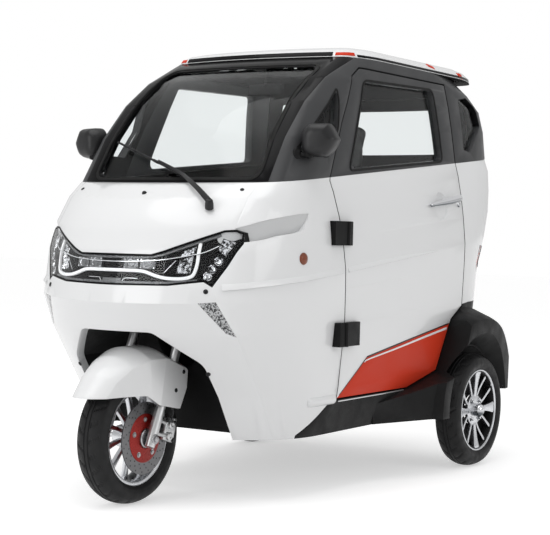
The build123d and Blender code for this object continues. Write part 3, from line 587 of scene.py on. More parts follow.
def lamp_front(bm):
    """The faces of a copy of the headlamp that can be met from the front."""
    faces = []
    for face in bm.faces:
        centre = face.calc_center_median()
        if face.normal.y < -0.12:
            place, _ = meet(lamp_skin, centre, INWARD_FROM_FRONT)
            if (place - centre).length < 0.001:
                faces.append(face)
    return faces


def sink(bm, faces, depth):
    """Move a region of faces inward by a depth, each corner along its own mean normal."""
    corners = dict.fromkeys(v for face in faces for v in face.verts)
    inside = set(faces)
    for vert in corners:
        mean = sum((f.normal * f.calc_area() for f in vert.link_faces if f in inside), Vector())
        corners[vert] = mean.normalized() * depth
    for vert, step in corners.items():
        vert.co -= step


basin = copy_of("headlamp_unit")
front_faces = lamp_front(basin)
floor_faces = bmesh.ops.extrude_face_region(basin, geom=front_faces)["geom"]
bmesh.ops.delete(basin, geom=front_faces, context="FACES_ONLY")
sink(basin, [part for part in floor_faces if isinstance(part, bmesh.types.BMFace)], BASIN_DEPTH)
headlamp_basin = new_piece("headlamp_basin", basin, black_gloss, "root")
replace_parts(headlamp_basin, "headlamp_unit")

lens = copy_of("headlamp_unit")
front_faces = lamp_front(lens)
kept = set(front_faces)
bmesh.ops.delete(lens, geom=[f for f in lens.faces if f not in kept], context="FACES")
sink(lens, lens.faces[:], 0.0008)
bmesh.ops.solidify(lens, geom=lens.faces[:], thickness=LENS_THICKNESS)
headlamp_lens = new_piece("headlamp_lens", lens, lamp_lens, "root")


# %% places inside the lamp
def in_lamp(x, z, lift=0.0):
    """A place and its normal on the basin's floor, or lifted off it, from its x and height."""
    place, normal = meet(nose_skin, Vector((x, -1.4, z)), INWARD_FROM_FRONT)
    return place - normal * (BASIN_DEPTH - lift), normal


def lamp_band(bm, points, width, height, lift, steps=6):
    """A flat band that follows the basin's floor through some (x, z) places."""
    flat = smooth_path([Vector((x, 0, z)) for x, z in points], steps)
    spots = [in_lamp(point.x, point.z, lift) for point in flat]
    sweep(bm, frames_on([place for place, _ in spots], [normal for _, normal in spots]), width, height)


def facet_field(bm, corners, columns, rows, lift, point_height):
    """A field of small pyramids on the basin's floor inside four (x, z) corners."""
    grid = bmesh.ops.create_grid(bm, x_segments=columns, y_segments=rows, size=0.5)
    first, second, third, fourth = (Vector((x, 0, z)) for x, z in corners)
    for vert in grid["verts"]:
        across = vert.co.x + 0.5
        along = vert.co.y + 0.5
        flat = first.lerp(second, across).lerp(fourth.lerp(third, across), along)
        vert.co = in_lamp(flat.x, flat.z, lift)[0]
    faces = list(dict.fromkeys(f for v in grid["verts"] for f in v.link_faces))
    bmesh.ops.recalc_face_normals(bm, faces=faces)
    if faces[0].normal.y > 0:
        bmesh.ops.reverse_faces(bm, faces=faces)
    bmesh.ops.inset_individual(bm, faces=faces, thickness=0.0004, use_even_offset=True)
    bmesh.ops.poke(bm, faces=faces, offset=point_height)


# %% the white light line, the trims and the plaque
LIGHT_LINE = ((0.296, 0.903), (0.298, 0.868), (0.299, 0.838), (0.293, 0.802), (0.280, 0.788),
              (0.246, 0.782), (0.200, 0.784), (0.165, 0.792), (0.130, 0.803), (0.095, 0.806), (0, 0.806))
GREY_LOWER = ((0.304, 0.777), (0.215, 0.7675), (0.120, 0.7655), (0, 0.7650))
GREY_UPPER = ((0.350, 0.932), (0.295, 0.909), (0.245, 0.888), (0.165, 0.858), (0.075, 0.852), (0, 0.852))
CHROME_LINE = ((0.352, 0.893), (0.309, 0.869), (0.238, 0.852), (0.178, 0.842), (0.090, 0.836), (0, 0.834))
PLAQUE_LINE = ((0.106, 0.7805), (0.060, 0.7805), (0.052, 0.778), (0.044, 0.769), (0.036, 0.767), (0, 0.767))


LAMP_CORNERS = ((0, 0.7575), (0.120, 0.7585), (0.218, 0.7605), (0.300, 0.7725), (0.326, 0.775),
                (0.349, 0.7595), (0.383, 0.828), (0.4125, 0.902), (0.409, 0.935), (0.387, 0.9445),
                (0.357, 0.9415), (0.290, 0.9125), (0.187, 0.8695), (0.148, 0.8565), (0.060, 0.8565))


def mirrored_points(points):
    """The same (x, z) points carried on to the other side of the middle."""
    return points[:-1] + ((0, points[-1][1]),) + tuple((-x, z) for x, z in points[-2::-1])


def between(start, end, share):
    """A place on the straight line from one (x, z) place to another."""
    return tuple(a + (b - a) * share for a, b in zip(start, end))


corners = LAMP_CORNERS + tuple((-x, z) for x, z in LAMP_CORNERS[:0:-1])
LAMP_OUTLINE = [between(start, end, step / 4)
                for start, end in zip(corners, corners[1:] + corners[:1]) for step in range(4)]

rim = bmesh.new()
rim_places = [in_lamp(x, z, BASIN_DEPTH - 0.0015) for x, z in LAMP_OUTLINE]
rim_frames = frames_on([place for place, _ in rim_places], [normal for _, normal in rim_places], True)
sweep(rim, rim_frames, LAMP_RIM, 0.003, closed=True)
new_piece("headlamp_rim", rim, black_gloss, "root", 0.0006)

line = bmesh.new()
lamp_band(line, mirrored_points(LIGHT_LINE), 0.011, 0.008, 0.0055, 4)
new_piece("headlamp_light_line", line, light_guide, "root", 0.001)

grey = bmesh.new()
lamp_band(grey, mirrored_points(GREY_LOWER), 0.010, 0.008, 0.004)
lamp_band(grey, mirrored_points(GREY_UPPER), 0.012, 0.010, 0.005)
new_piece("headlamp_grey_trims", grey, lamp_grey, "root", 0.001)

bright = bmesh.new()
lamp_band(bright, mirrored_points(CHROME_LINE), 0.0028, 0.004, 0.0105)
lamp_band(bright, mirrored_points(PLAQUE_LINE), 0.0020, 0.002, 0.0035, 3)
for side in (1, -1):
    lamp_band(bright, ((side * 0.198, 0.800), (side * 0.232, 0.842)), 0.0022, 0.004, 0.008, 2)
new_piece("headlamp_bright_lines", bright, chrome, "root", 0.0004)

plaque = bmesh.new()
place, normal = in_lamp(0, 0.7745, 0.002)
slab(plaque, (0.076, 0.011, 0.002), facing(place, normal), 0.0008)
new_piece("headlamp_bare_plaque", plaque, lamp_grey, "root")

# %% projector cells, bowls and corner reflectors
CELL_X = (0.076, 0.138)
CELL_Z = 0.829
CELL_SIZE = (0.056, 0.034)
BOWL_FIELD = ((0.236, 0.802), (0.280, 0.800), (0.284, 0.862), (0.242, 0.842))
BOWL_TOP_FIELD = ((0.243, 0.850), (0.284, 0.868), (0.286, 0.893), (0.248, 0.876))
UPPER_CORNER = ((0.352, 0.884), (0.378, 0.860), (0.396, 0.908), (0.358, 0.922))
TURN_LAMPS = ((0.333, 0.792), (0.345, 0.816), (0.359, 0.843))

cells = bmesh.new()
reflectors = bmesh.new()
bulbs = bmesh.new()
for side in (1, -1):
    for x in CELL_X:
        place, normal = in_lamp(side * x, CELL_Z)
        spot = facing(place, normal)
        ring = [spot @ Matrix.Translation((0, 0, height)) for height in (0.0, 0.010)]
        sweep(cells, ring, *CELL_SIZE)
        lathe(reflectors, ((0.0135, 0.0112), (0.0150, 0.0118), (0.0140, 0.0104), (0.0110, 0.0060),
                           (0.0060, 0.0030), (0, 0.0025)), spot, 24)
        lathe(bulbs, ((0.0062, 0.004), (0.0056, 0.0075), (0.0034, 0.0100), (0, 0.0108)), spot, 20)
        for corner_x in (-1, 1):
            for corner_z in (-1, 1):
                stud = spot @ Matrix.Translation((corner_x * 0.024, corner_z * 0.0135, 0.0105))
                slab(reflectors, (0.006, 0.005, 0.0016), stud, 0.0006, 1)
    for corners, rows in ((BOWL_FIELD, 8), (BOWL_TOP_FIELD, 4)):
        facet_field(reflectors, [(side * x, z) for x, z in corners], 5, rows, 0.002, 0.0045)
    facet_field(reflectors, [(side * x, z) for x, z in UPPER_CORNER], 7, 9, 0.004, 0.0030)
    for x, z in TURN_LAMPS:
        place, normal = in_lamp(side * x, z)
        spot = facing(place, normal)
        lathe(reflectors, ((0.0150, 0.0095), (0.0140, 0.0100), (0.0120, 0.0060), (0.0070, 0.0025),
                           (0, 0.0015)), spot, 10)
        lathe(bulbs, ((0.0062, 0.002), (0.0060, 0.0070), (0.0036, 0.0100), (0, 0.0110)), spot, 16)
new_piece("headlamp_cells", cells, lamp_grey, "root", 0.0012)
new_piece("headlamp_reflectors", reflectors, glint_cells, "root")
new_piece("headlamp_bulbs", bulbs, lamp_lens, "root")

# %% [markdown]
# ## Tyres
#
# A tyre is spun from a finely stepped half-round outline. Each point of its tread is then
# moved inward where a groove runs: curved side grooves that sweep back from the middle, and
# two narrow ones all the way round. Plain ribs mark the sidewall; it carries no lettering.

# %% tyre outline and tread
TYRE_STEPS = 264
TREAD_REACH = 0.047
TREAD_POINTS = 44
GROOVE_DEPTH = 0.0030
GROOVES_AROUND = 26
SIDEWALL = ((0.0500, 0.2090), (0.0518, 0.2045), (0.0528, 0.1995), (0.0533, 0.1975), (0.0537, 0.1940),
            (0.0539, 0.1900), (0.0536, 0.1860), (0.0522, 0.1825), (0.0522, 0.1800), (0.0508, 0.1770),
            (0.0485, 0.1735), (0.0455, 0.1700), (0.0430, 0.1655))


def tread_radius(across):
    """The tyre's radius at a distance from its middle plane, over the tread."""
    share = abs(across) / TREAD_REACH
    return WHEEL_RADIUS - 0.0155 * share ** 2.3


def groove(across, around):
    """How deep the tread is cut at a place, from 0 to 1. around counts side grooves."""
    share = across / TREAD_REACH
    ring = abs(abs(share) - 0.16) < 0.05
    phase = (around + 0.55 * abs(share) ** 1.6 + (0.5 if share > 0 else 0.0)) % 1.0
    reach = 0.95 if int(around + 0.55 * abs(share) ** 1.6 + (0.5 if share > 0 else 0.0)) % 2 else 0.72
    side = abs(phase - 0.5) < 0.10 and 0.24 < abs(share) < reach
    return 1.0 if ring or side else 0.0


def tyre_shape():
    """A treaded tyre around the origin, with its axle along X."""
    steps = [TREAD_REACH * (2 * i / TREAD_POINTS - 1) for i in range(TREAD_POINTS + 1)]
    outline = [(r, -a) for a, r in reversed(SIDEWALL)]
    outline += [(tread_radius(a), a) for a in steps]
    outline += [(r, a) for a, r in SIDEWALL]
    bm = bmesh.new()
    lathe(bm, outline, facing(Vector(), Vector((1, 0, 0))), TYRE_STEPS, closed=True)
    for vert in bm.verts:
        radius = math.hypot(vert.co.y, vert.co.z)
        if abs(vert.co.x) < TREAD_REACH and radius > WHEEL_RADIUS - 0.018:
            around = GROOVES_AROUND * (math.atan2(vert.co.z, vert.co.y) / (2 * math.pi) + 1)
            cut = GROOVE_DEPTH * groove(vert.co.x, around)
            vert.co -= Vector((0, vert.co.y, vert.co.z)) / radius * cut
    shape = bpy.data.meshes.new("tyre_shape")
    bm.to_mesh(shape)
    bm.free()
    return shape


TYRES = (
    # name, node, centre x, centre y, body, width against the shape's
    ("front_tyre_treaded", "front_tyre", 0.0, FRONT_AXLE_Y, "front_wheel", 1.05),
    ("rear_tyre_treaded_left", "rear_tyre_left", HALF_TRACK, REAR_AXLE_Y, "rear_wheel_left", 1.0),
    ("rear_tyre_treaded_right", "rear_tyre_right", -HALF_TRACK, REAR_AXLE_Y, "rear_wheel_right", 1.0),
)
shape = tyre_shape()
for name, node, centre_x, centre_y, body, width in TYRES:
    tyre = bmesh.new()
    tyre.from_mesh(shape)
    tyre.transform(Matrix.Translation((centre_x, centre_y, WHEEL_RADIUS)) @ Matrix.Diagonal((width, 1, 1, 1)))
    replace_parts(new_piece(name, tyre, tyre_rubber, body), node)

# %% [markdown]
# ## Rear wheels
#
# A barrel, black as painted shade for the wheel's dark inside, carries a bright stepped lip,
# four broad spokes that flare towards it, and eight thin ones that start beside a broad spoke
# and curve away. A black disc across the barrel is painted shade behind the spokes. Four bolts
# hold the wheel to its hub, under a tall domed cap.

# %% spokes and barrels
BARREL_OUTLINE = ((0.1640, -0.042), (0.1640, 0.042), (0.1530, 0.040), (0.1480, 0.020), (0.1480, -0.030),
                  (0.1530, -0.040))
LIP_OUTLINE = ((0.1655, 0.0425), (0.1670, 0.0440), (0.1660, 0.0460), (0.1620, 0.0462), (0.1600, 0.0440),
               (0.1590, 0.0405), (0.1555, 0.0400), (0.1535, 0.0375), (0.1525, 0.0280), (0.1560, 0.0260),
               (0.1650, 0.0300))


def wheel_frame(centre_x, centre_y, side):
    """A placing matrix at a wheel's centre, with +Z outward on that side."""
    return facing(Vector((centre_x, centre_y, WHEEL_RADIUS)), Vector((side, 0, 0)))


def spoke(bm, wheel, angles, radii, widths, depths, thickness, steps=9):
    """A spoke from the hub to the rim, whose angle, width and depth ease from start to end."""
    path = []
    sizes = []
    for i in range(steps + 1):
        share = i / steps
        ease = share * share * (3 - 2 * share)
        angle = angles[0] + (angles[1] - angles[0]) * ease
        radius = radii[0] + (radii[1] - radii[0]) * share
        depth = depths[0] + (depths[1] - depths[0]) * share ** 1.5
        path.append(wheel @ Vector((radius * math.cos(angle), radius * math.sin(angle), depth)))
        sizes.append(widths[0] + (widths[1] - widths[0]) * share ** 2.2)
    outward = wheel.to_3x3() @ Vector((0, 0, 1))
    frames = frames_on(path, [outward] * len(path))
    sweep(bm, [place @ Matrix.Diagonal((size, 1, 1, 1)) for place, size in zip(frames, sizes)],
          1.0, thickness)


QUARTER = math.pi / 2
HUB_BOLT_RADIUS = 0.050
for side, word in SIDES:
    wheel = wheel_frame(side * HALF_TRACK, REAR_AXLE_Y, side)
    body = f"rear_wheel_{word}"
    # The barrel and the disc across it are black as painted shade, standing in for the dark inside of the
    # wheel behind the spokes.
    barrel = bmesh.new()
    lathe(barrel, BARREL_OUTLINE, wheel, 72, closed=True)
    lathe(barrel, ((0.148, 0.006), (0.060, 0.006), (0.060, -0.006), (0.148, -0.006)), wheel, 48, closed=True)
    new_piece(f"rear_barrel_painted_shade_{word}", barrel, black_plastic, body, 0.0008)
    cast = bmesh.new()
    lathe(cast, LIP_OUTLINE, wheel, 96, closed=True)
    lathe(cast, ((0.0, 0.030), (0.034, 0.030), (0.062, 0.0275), (0.0645, 0.024), (0.0645, 0.012),
                 (0.0, 0.012)), wheel, 48)
    for quarter in range(4):
        start = quarter * QUARTER
        spoke(cast, wheel, (start, start), (0.055, 0.158), (0.021, 0.050), (0.022, 0.034), 0.014)
        for turn in (-1, 1):
            angles = (start + turn * math.radians(23), start + turn * math.radians(31))
            spoke(cast, wheel, angles, (0.055, 0.158), (0.010, 0.013), (0.020, 0.032), 0.011)
    rim_piece = new_piece(f"rear_wheel_spokes_{word}", cast, cast_alloy, body, 0.0016)
    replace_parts(rim_piece, f"rear_rim_{word}")
    bolts = bmesh.new()
    lathe(bolts, ((0.026, 0.029), (0.026, 0.046), (0.0245, 0.054), (0.0205, 0.0605), (0.0135, 0.0650),
                  (0.0060, 0.0668), (0.0, 0.0670)), wheel, 40)
    for quarter in range(4):
        angle = (quarter + 0.5) * QUARTER
        spot = wheel @ Matrix.Translation((HUB_BOLT_RADIUS * math.cos(angle),
                                           HUB_BOLT_RADIUS * math.sin(angle), 0.0285))
        hex_bolt(bolts, spot, 0.0070, 0.010)
    valve = wheel @ Vector((0.147 * math.cos(0.75), 0.147 * math.sin(0.75), 0.030))
    tube(bolts, [valve, valve + wheel.to_3x3() @ Vector((-0.006, -0.005, 0.022))], 0.007, 10)
    new_piece(f"rear_wheel_cap_and_bolts_{word}", bolts, chrome, body)

# %% [markdown]
# ## Front wheel, disc, fork and mudguard
#
# The front wheel has ten tapering spokes. A steel disc on a red carrier stands on its left,
# in the jaws of a small caliper with its hose. Flat dark circles of painted shade stand for its drillings.
# The fork legs are bright tubes in cast sockets, and the mudguard bolts to them with two
# screws a side.

# %% front wheel
wheel = wheel_frame(0, FRONT_AXLE_Y, 1)
barrel = bmesh.new()
lathe(barrel, BARREL_OUTLINE, wheel, 72, closed=True)
new_piece("front_barrel", barrel, cast_alloy, "front_wheel", 0.0008)
cast = bmesh.new()
for side, _ in SIDES:
    lip_frame = wheel_frame(0, FRONT_AXLE_Y, side) @ Matrix.Translation((0, 0, -0.004))
    lathe(cast, [(radius + 0.003, height) for radius, height in LIP_OUTLINE], lip_frame, 96, closed=True)
for index in range(10):
    angle = math.radians(9 + 36 * index)
    spoke(cast, wheel, (angle, angle + math.radians(7)), (0.036, 0.158), (0.013, 0.024), (0.004, -0.014),
          0.016)
lathe(cast, ((0.012, -0.048), (0.034, -0.046), (0.038, -0.036), (0.044, -0.010), (0.044, 0.012),
             (0.040, 0.040), (0.036, 0.058), (0.012, 0.060)), wheel, 40, closed=True)
front_spokes = new_piece("front_wheel_spokes", cast, cast_alloy, "front_wheel", 0.0014)
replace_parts(front_spokes, "front_rim")

# %% disc on its red carrier
DISC_X = 0.068
DISC_HALF = 0.0022
DISC_OUTER = 0.1245
DISC_INNER = 0.082
disc_carrier = finish_material("disc_carrier", (0.26, 0.010, 0.006), 0.30, metallic=0.55, vary=0.06,
                               vary_size=0.02)
disc_frame = wheel @ Matrix.Translation((0, 0, DISC_X))
disc = bmesh.new()
lathe(disc, ((DISC_INNER, -DISC_HALF), (DISC_OUTER, -DISC_HALF), (DISC_OUTER, DISC_HALF),
             (DISC_INNER, DISC_HALF)), disc_frame, 180, closed=True)
disc_piece = new_piece("front_disc_ring", disc, disc_steel, "front_wheel")
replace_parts(disc_piece, "brake_disc")
# The drillings are flat dark circles on both faces of the disc: painted shade in place of real holes.
hole_shades = bmesh.new()
carrier = bmesh.new()
studs = bmesh.new()
for index in range(20):
    for row, radius in enumerate((0.0905, 0.1030, 0.1155)):
        angle = math.radians(18 * index + 6 * row)
        for face in (1, -1):
            spot = disc_frame @ Matrix.Translation((radius * math.cos(angle), radius * math.sin(angle),
                                                    face * (DISC_HALF + 0.0001)))
            bmesh.ops.create_circle(hole_shades, cap_ends=True, radius=0.0031, segments=12, matrix=spot)
new_piece("front_disc_painted_hole_shades", hole_shades, dark_trim, "front_wheel")
lathe(carrier, ((0.034, -0.006), (0.060, -0.003), (0.080, -0.0022), (0.084, 0.0), (0.084, 0.0034),
                (0.078, 0.0048), (0.052, 0.0062), (0.044, 0.0085), (0.034, 0.0085)), disc_frame, 72,
      closed=True)
new_piece("front_disc_carrier", carrier, disc_carrier, "front_wheel", 0.0006)
for index in range(5):
    angle = math.radians(20 + 72 * index)
    spot = disc_frame @ Matrix.Translation((0.064 * math.cos(angle), 0.064 * math.sin(angle), 0.0052))
    hex_bolt(studs, spot, 0.0062, 0.0055)
lathe(studs, ((0.014, 0.0), (0.032, 0.0), (0.032, 0.010), (0.028, 0.013), (0.014, 0.013)), disc_frame, 32,
      closed=True)
new_piece("front_disc_bolts", studs, bolt_steel, "front_wheel")

# %% fork legs, caliper and hose
RAKE = math.radians(24)
UP_FORK = Vector((0, math.sin(RAKE), math.cos(RAKE)))
LEG_X = 0.100
fork = bmesh.new()
sockets = bmesh.new()
for side, _ in SIDES:
    foot = at(side * LEG_X, 0, WHEEL_RADIUS)
    leg = facing(foot, UP_FORK, Vector((0, -1, 0)))
    lathe(fork, ((0.0, -0.0295), (0.014, -0.0295), (0.0175, -0.026), (0.0178, 0.020),
                 (0.0176, 0.150)), leg, 28)
    lathe(sockets, ((0.0180, 0.150), (0.0205, 0.152), (0.0205, 0.164), (0.0180, 0.168)), leg, 28, closed=True)
    axle_nut = facing(foot + Vector((side * 0.0155, 0, 0)), Vector((side, 0, 0)))
    hex_bolt(sockets, axle_nut, 0.0115, 0.010)
new_piece("fork_lower_legs", fork, fork_silver, "steering", 0.0004)
new_piece("fork_collars_and_nuts", sockets, bolt_steel, "steering", 0.0003)

caliper = bmesh.new()
CALIPER_LEAN = Matrix.Rotation(-0.30, 4, "X")
CALIPER_BLOCKS = (
    # size, place, edge rounding: the outer half, the inner half and the bridge behind the disc
    ((0.018, 0.060, 0.078), at(0.0825, 0.118, 0.247), 0.006),
    ((0.014, 0.052, 0.066), at(0.0555, 0.120, 0.247), 0.005),
    ((0.040, 0.018, 0.070), at(0.069, 0.145, 0.252), 0.005),
)
for size, place, rounding in CALIPER_BLOCKS:
    slab(caliper, size, Matrix.Translation(place) @ CALIPER_LEAN, rounding, 3)
for height in (-0.019, 0.019):
    pot = facing(at(0.0915, 0.112 + 0.3 * height, 0.247 + height), Vector((1, 0, 0)))
    lathe(caliper, ((0.0145, -0.004), (0.0145, 0.008), (0.0120, 0.011), (0.0070, 0.0115), (0.0065, 0.009),
                    (0.0, 0.009)), pot, 24)
tube(caliper, [at(0.098, 0.030, 0.287), at(0.094, 0.062, 0.285), at(0.088, 0.090, 0.275)], 0.016, 12)
tube(caliper, [at(0.098, 0.010, 0.252), at(0.094, 0.052, 0.240), at(0.088, 0.092, 0.232)], 0.014, 12)
caliper_piece = new_piece("caliper_cast", caliper, fork_silver, "steering", 0.0006)
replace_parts(caliper_piece, "brake_caliper")
BRAKE_HOSE = (at(0.088, 0.128, 0.284), at(0.096, 0.126, 0.315), at(0.104, 0.100, 0.350),
              at(0.100, 0.105, 0.420), at(0.090, 0.118, 0.480), at(0.080, 0.140, 0.560))
HOSE_DIAMETER = 0.008
pads = bmesh.new()
for x in (0.0612, 0.0748):
    slab(pads, (0.007, 0.046, 0.030), Matrix.Translation(at(x, 0.100, 0.247)), 0.001)
tube(pads, BRAKE_HOSE, HOSE_DIAMETER, 10)
for x, back_off, z in ((0.083, 0.100, 0.285), (0.083, 0.141, 0.270), (0.083, 0.132, 0.212)):
    hex_bolt(pads, facing(at(x + 0.008, back_off, z), Vector((1, 0, 0))), 0.0055, 0.005)
new_piece("caliper_pads_and_hose", pads, dark_trim, "steering")

# %% mudguard screws and edge
guard_skin = skin_of("front_mudguard")
GUARD_SCREWS = ((0.145, 0.451), (0.102, 0.390))
screws = bmesh.new()
for side, _ in SIDES:
    for back_off, z in GUARD_SCREWS:
        place, normal = meet(guard_skin, at(side * 0.3, back_off, z), Vector((-side, 0, 0)))
        socket_screw(screws, facing(place, normal), 0.0078, 0.0035)
new_piece("mudguard_screws", screws, dark_trim, "steering")

# %% [markdown]
# ## Panel details
#
# Screws with black heads hold the nose and its arch flanges. Behind the headlamp a scoop is
# pressed into the front wing, with a small amber marker under it. The doors have covered
# hinges, a bright handle over a round hollow, a white lip and a painted shadow line round the red lower
# panel.

# %% screws in the nose
nose_all = skin_of("nose_mask", "bonnet", "front_quarters", "headlamp_unit")
NOSE_SCREWS = (
    # x, height, head radius
    (0.347, 1.084, 0.0075), (0.334, 0.741, 0.0085), (0.279, 0.458, 0.0085),
)
screws = bmesh.new()
for x, z, radius in NOSE_SCREWS:
    for side, _ in SIDES:
        socket_screw(screws, mount_on(nose_all, "front", (side * x, z)), radius, 0.0030)
new_piece("nose_screws", screws, dark_trim, "root")

# %% scoop behind the headlamp
SCOOP_OUTLINE = (
    # distance behind the front axle, height, depth
    (0.018, 0.902, 0.018), (0.020, 0.932, 0.009), (0.060, 0.953, 0.004), (0.150, 0.985, 0.003),
    (0.250, 1.002, 0.003), (0.334, 1.010, 0.003), (0.340, 1.003, 0.005), (0.322, 0.976, 0.012),
    (0.290, 0.947, 0.022), (0.190, 0.930, 0.026), (0.080, 0.908, 0.024),
)
SCOOP_LEAST_DEPTH = 0.0015
# layers: lift off the wing, how far the outline is drawn in, whether it sinks by the outline's depth
SCOOP_CUT = ((0.010, 0.0, False), (0.0, 0.004, True))
SCOOP_FLOOR = ((0.0012, 0.0046, True), (0.0002, 0.0046, True))
wing_skin = skin_of("front_quarters", "bonnet", "headlamp_unit", "door_shell_left", "door_shell_right")


def scoop_layers(bm, word, layers):
    """A closed volume in the scoop on one side, between two layers of its outline."""
    points = smooth_path([Vector(row) for row in SCOOP_OUTLINE], 4, closed=True)
    middle = sum(points, Vector()) / len(points)
    rings = []
    for lift, shrink, sunk in layers:
        ring = []
        for point in points:
            flat = point + (middle - point).normalized() * shrink
            depth = lift - max(point.z, SCOOP_LEAST_DEPTH) if sunk else lift
            ring.append(bm.verts.new(spot_on(wing_skin, word, (flat.x, flat.y), depth)[0]))
        rings.append([bm.edges.new((ring[i - 1], ring[i])) for i in range(len(ring))])
    bmesh.ops.bridge_loops(bm, edges=rings[0] + rings[1])
    for ring in rings:
        cap = bmesh.ops.contextual_create(bm, geom=ring)
        bmesh.ops.triangulate(bm, faces=cap["faces"])


cutter = bmesh.new()
for _, word in SIDES:
    scoop_layers(cutter, word, SCOOP_CUT)
carve("front_wings", "front_quarters", cutter, white_paint, "root")

# %% the scoops' floors, grey as painted shade
# The floor sheet is grey as painted shade for the recess; the wing round it is white paint.
scoop_painted_shade = finish_material("scoop_painted_shade", (0.58, 0.585, 0.59), 0.34, coat=0.3, grain=0.02, grain_size=0.006,
                             vary=0.04, vary_size=0.2, specular=0.3)
shade_floors = bmesh.new()
for _, word in SIDES:
    scoop_layers(shade_floors, word, SCOOP_FLOOR)
new_piece("scoop_shade_floors", shade_floors, scoop_painted_shade, "root")

# %% amber markers
amber_lens = clear_material("amber_lens", (0.26, 0.055, 0.016), 0.10, 1.45)
MARKER_PLACE = (0.293, 0.854)
markers = bmesh.new()
for _, word in SIDES:
    spot = mount_on(wing_skin, word, MARKER_PLACE)
    lathe(markers, ((0.0210, -0.002), (0.0210, 0.0015), (0.0195, 0.0040), (0.0180, 0.0042),
                    (0.0165, 0.0055), (0.0100, 0.0078), (0.0, 0.0086)), spot, 32)
new_piece("side_markers", markers, amber_lens, "root", 0.0004)

# %% body crease
CREASE_WING = ((0.0, 0.760), (0.080, 0.770), (0.165, 0.778), (0.340, 0.794), (0.548, 0.8125))
CREASE_DOOR = ((0.590, 0.8165), (0.800, 0.837), (1.010, 0.857), (1.180, 0.873), (1.300, 0.884))


def crease(bm, word, pairs, widths):
    """A raised line whose flat top leans up a little, between two widths."""
    frames = trace(wing_skin, word, pairs, 0.0)
    leaning = []
    for index, place in enumerate(frames):
        share = index / (len(frames) - 1)
        lean = Matrix.Rotation(math.radians(-20 if word == "left" else 20), 4, "Z")
        size = widths[0] + (widths[1] - widths[0]) * share
        leaning.append(place @ lean @ Matrix.Diagonal((size, 1, 1, 1)))
    sweep(bm, leaning, 1.0, 0.0042)


wing_crease = bmesh.new()
for _, word in SIDES:
    crease(wing_crease, word, CREASE_WING, (0.034, 0.024))
    door_crease = bmesh.new()
    crease(door_crease, word, CREASE_DOOR, (0.024, 0.004))
    new_piece(f"door_crease_{word}", door_crease, white_paint, f"door_{word}", 0.0008)
new_piece("wing_creases", wing_crease, white_paint, "root", 0.0008)

# %% sill bulge, and a painted highlight along the sill's top edge
sill_skin = skin_of("side_skirts", "front_quarters")
bulges = bmesh.new()
sill_highlights = bmesh.new()
SILL_BULGE = ((0.405, 0.348), (0.450, 0.348), (0.520, 0.348), (0.580, 0.348))
SILL_HIGHLIGHT = ((0.612, 0.338), (0.800, 0.339), (1.000, 0.340), (1.120, 0.342))
for _, word in SIDES:
    frames = trace(sill_skin, word, SILL_BULGE, -0.006, 5)
    ends = [0.45, 0.80, 0.95] + [1.0] * (len(frames) - 3)
    sweep(bulges, [place @ Matrix.Diagonal((end, end, 1, 1)) for place, end in zip(frames, ends)],
          0.038, 0.034, 16)
new_piece("sill_bulges", bulges, white_paint, "root", 0.001)
# The bright strip on the black sill's top edge is a painted highlight.
for _, word in SIDES:
    sweep(sill_highlights, trace(sill_skin, word, SILL_HIGHLIGHT, 0.0005), 0.0045, 0.003)
new_piece("sill_highlights", sill_highlights, fork_silver, "root", 0.0005)

# %% red panel lips and painted shadow line, door hollows and handles
door_skins = {word: skin_of(f"door_shell_{word}", f"door_trim_{word}", f"door_frame_{word}")
              for _, word in SIDES}
PANEL_TOP = ((0.792, 0.490), (1.000, 0.521), (1.200, 0.551), (1.455, 0.588))
PANEL_LIP = ((0.775, 0.470), (0.800, 0.480), (1.000, 0.507), (1.200, 0.536), (1.440, 0.570))
PANEL_FRONT = ((0.612, 0.360), (0.650, 0.389), (0.720, 0.438), (0.792, 0.490))
HOLLOW_PLACE = (1.345, 1.062)
HOLLOW_RADIUS = 0.056
HOLLOW_DEPTH = 0.016
HANDLE_LINE = (
    # distance behind the front axle, height, lift off the door, thickness
    (1.236, 1.061, 0.012, 0.012), (1.262, 1.065, 0.020, 0.016), (1.310, 1.072, 0.030, 0.022),
    (1.370, 1.080, 0.034, 0.027), (1.430, 1.089, 0.032, 0.029), (1.470, 1.094, 0.027, 0.026),
    (1.492, 1.097, 0.020, 0.018),
)
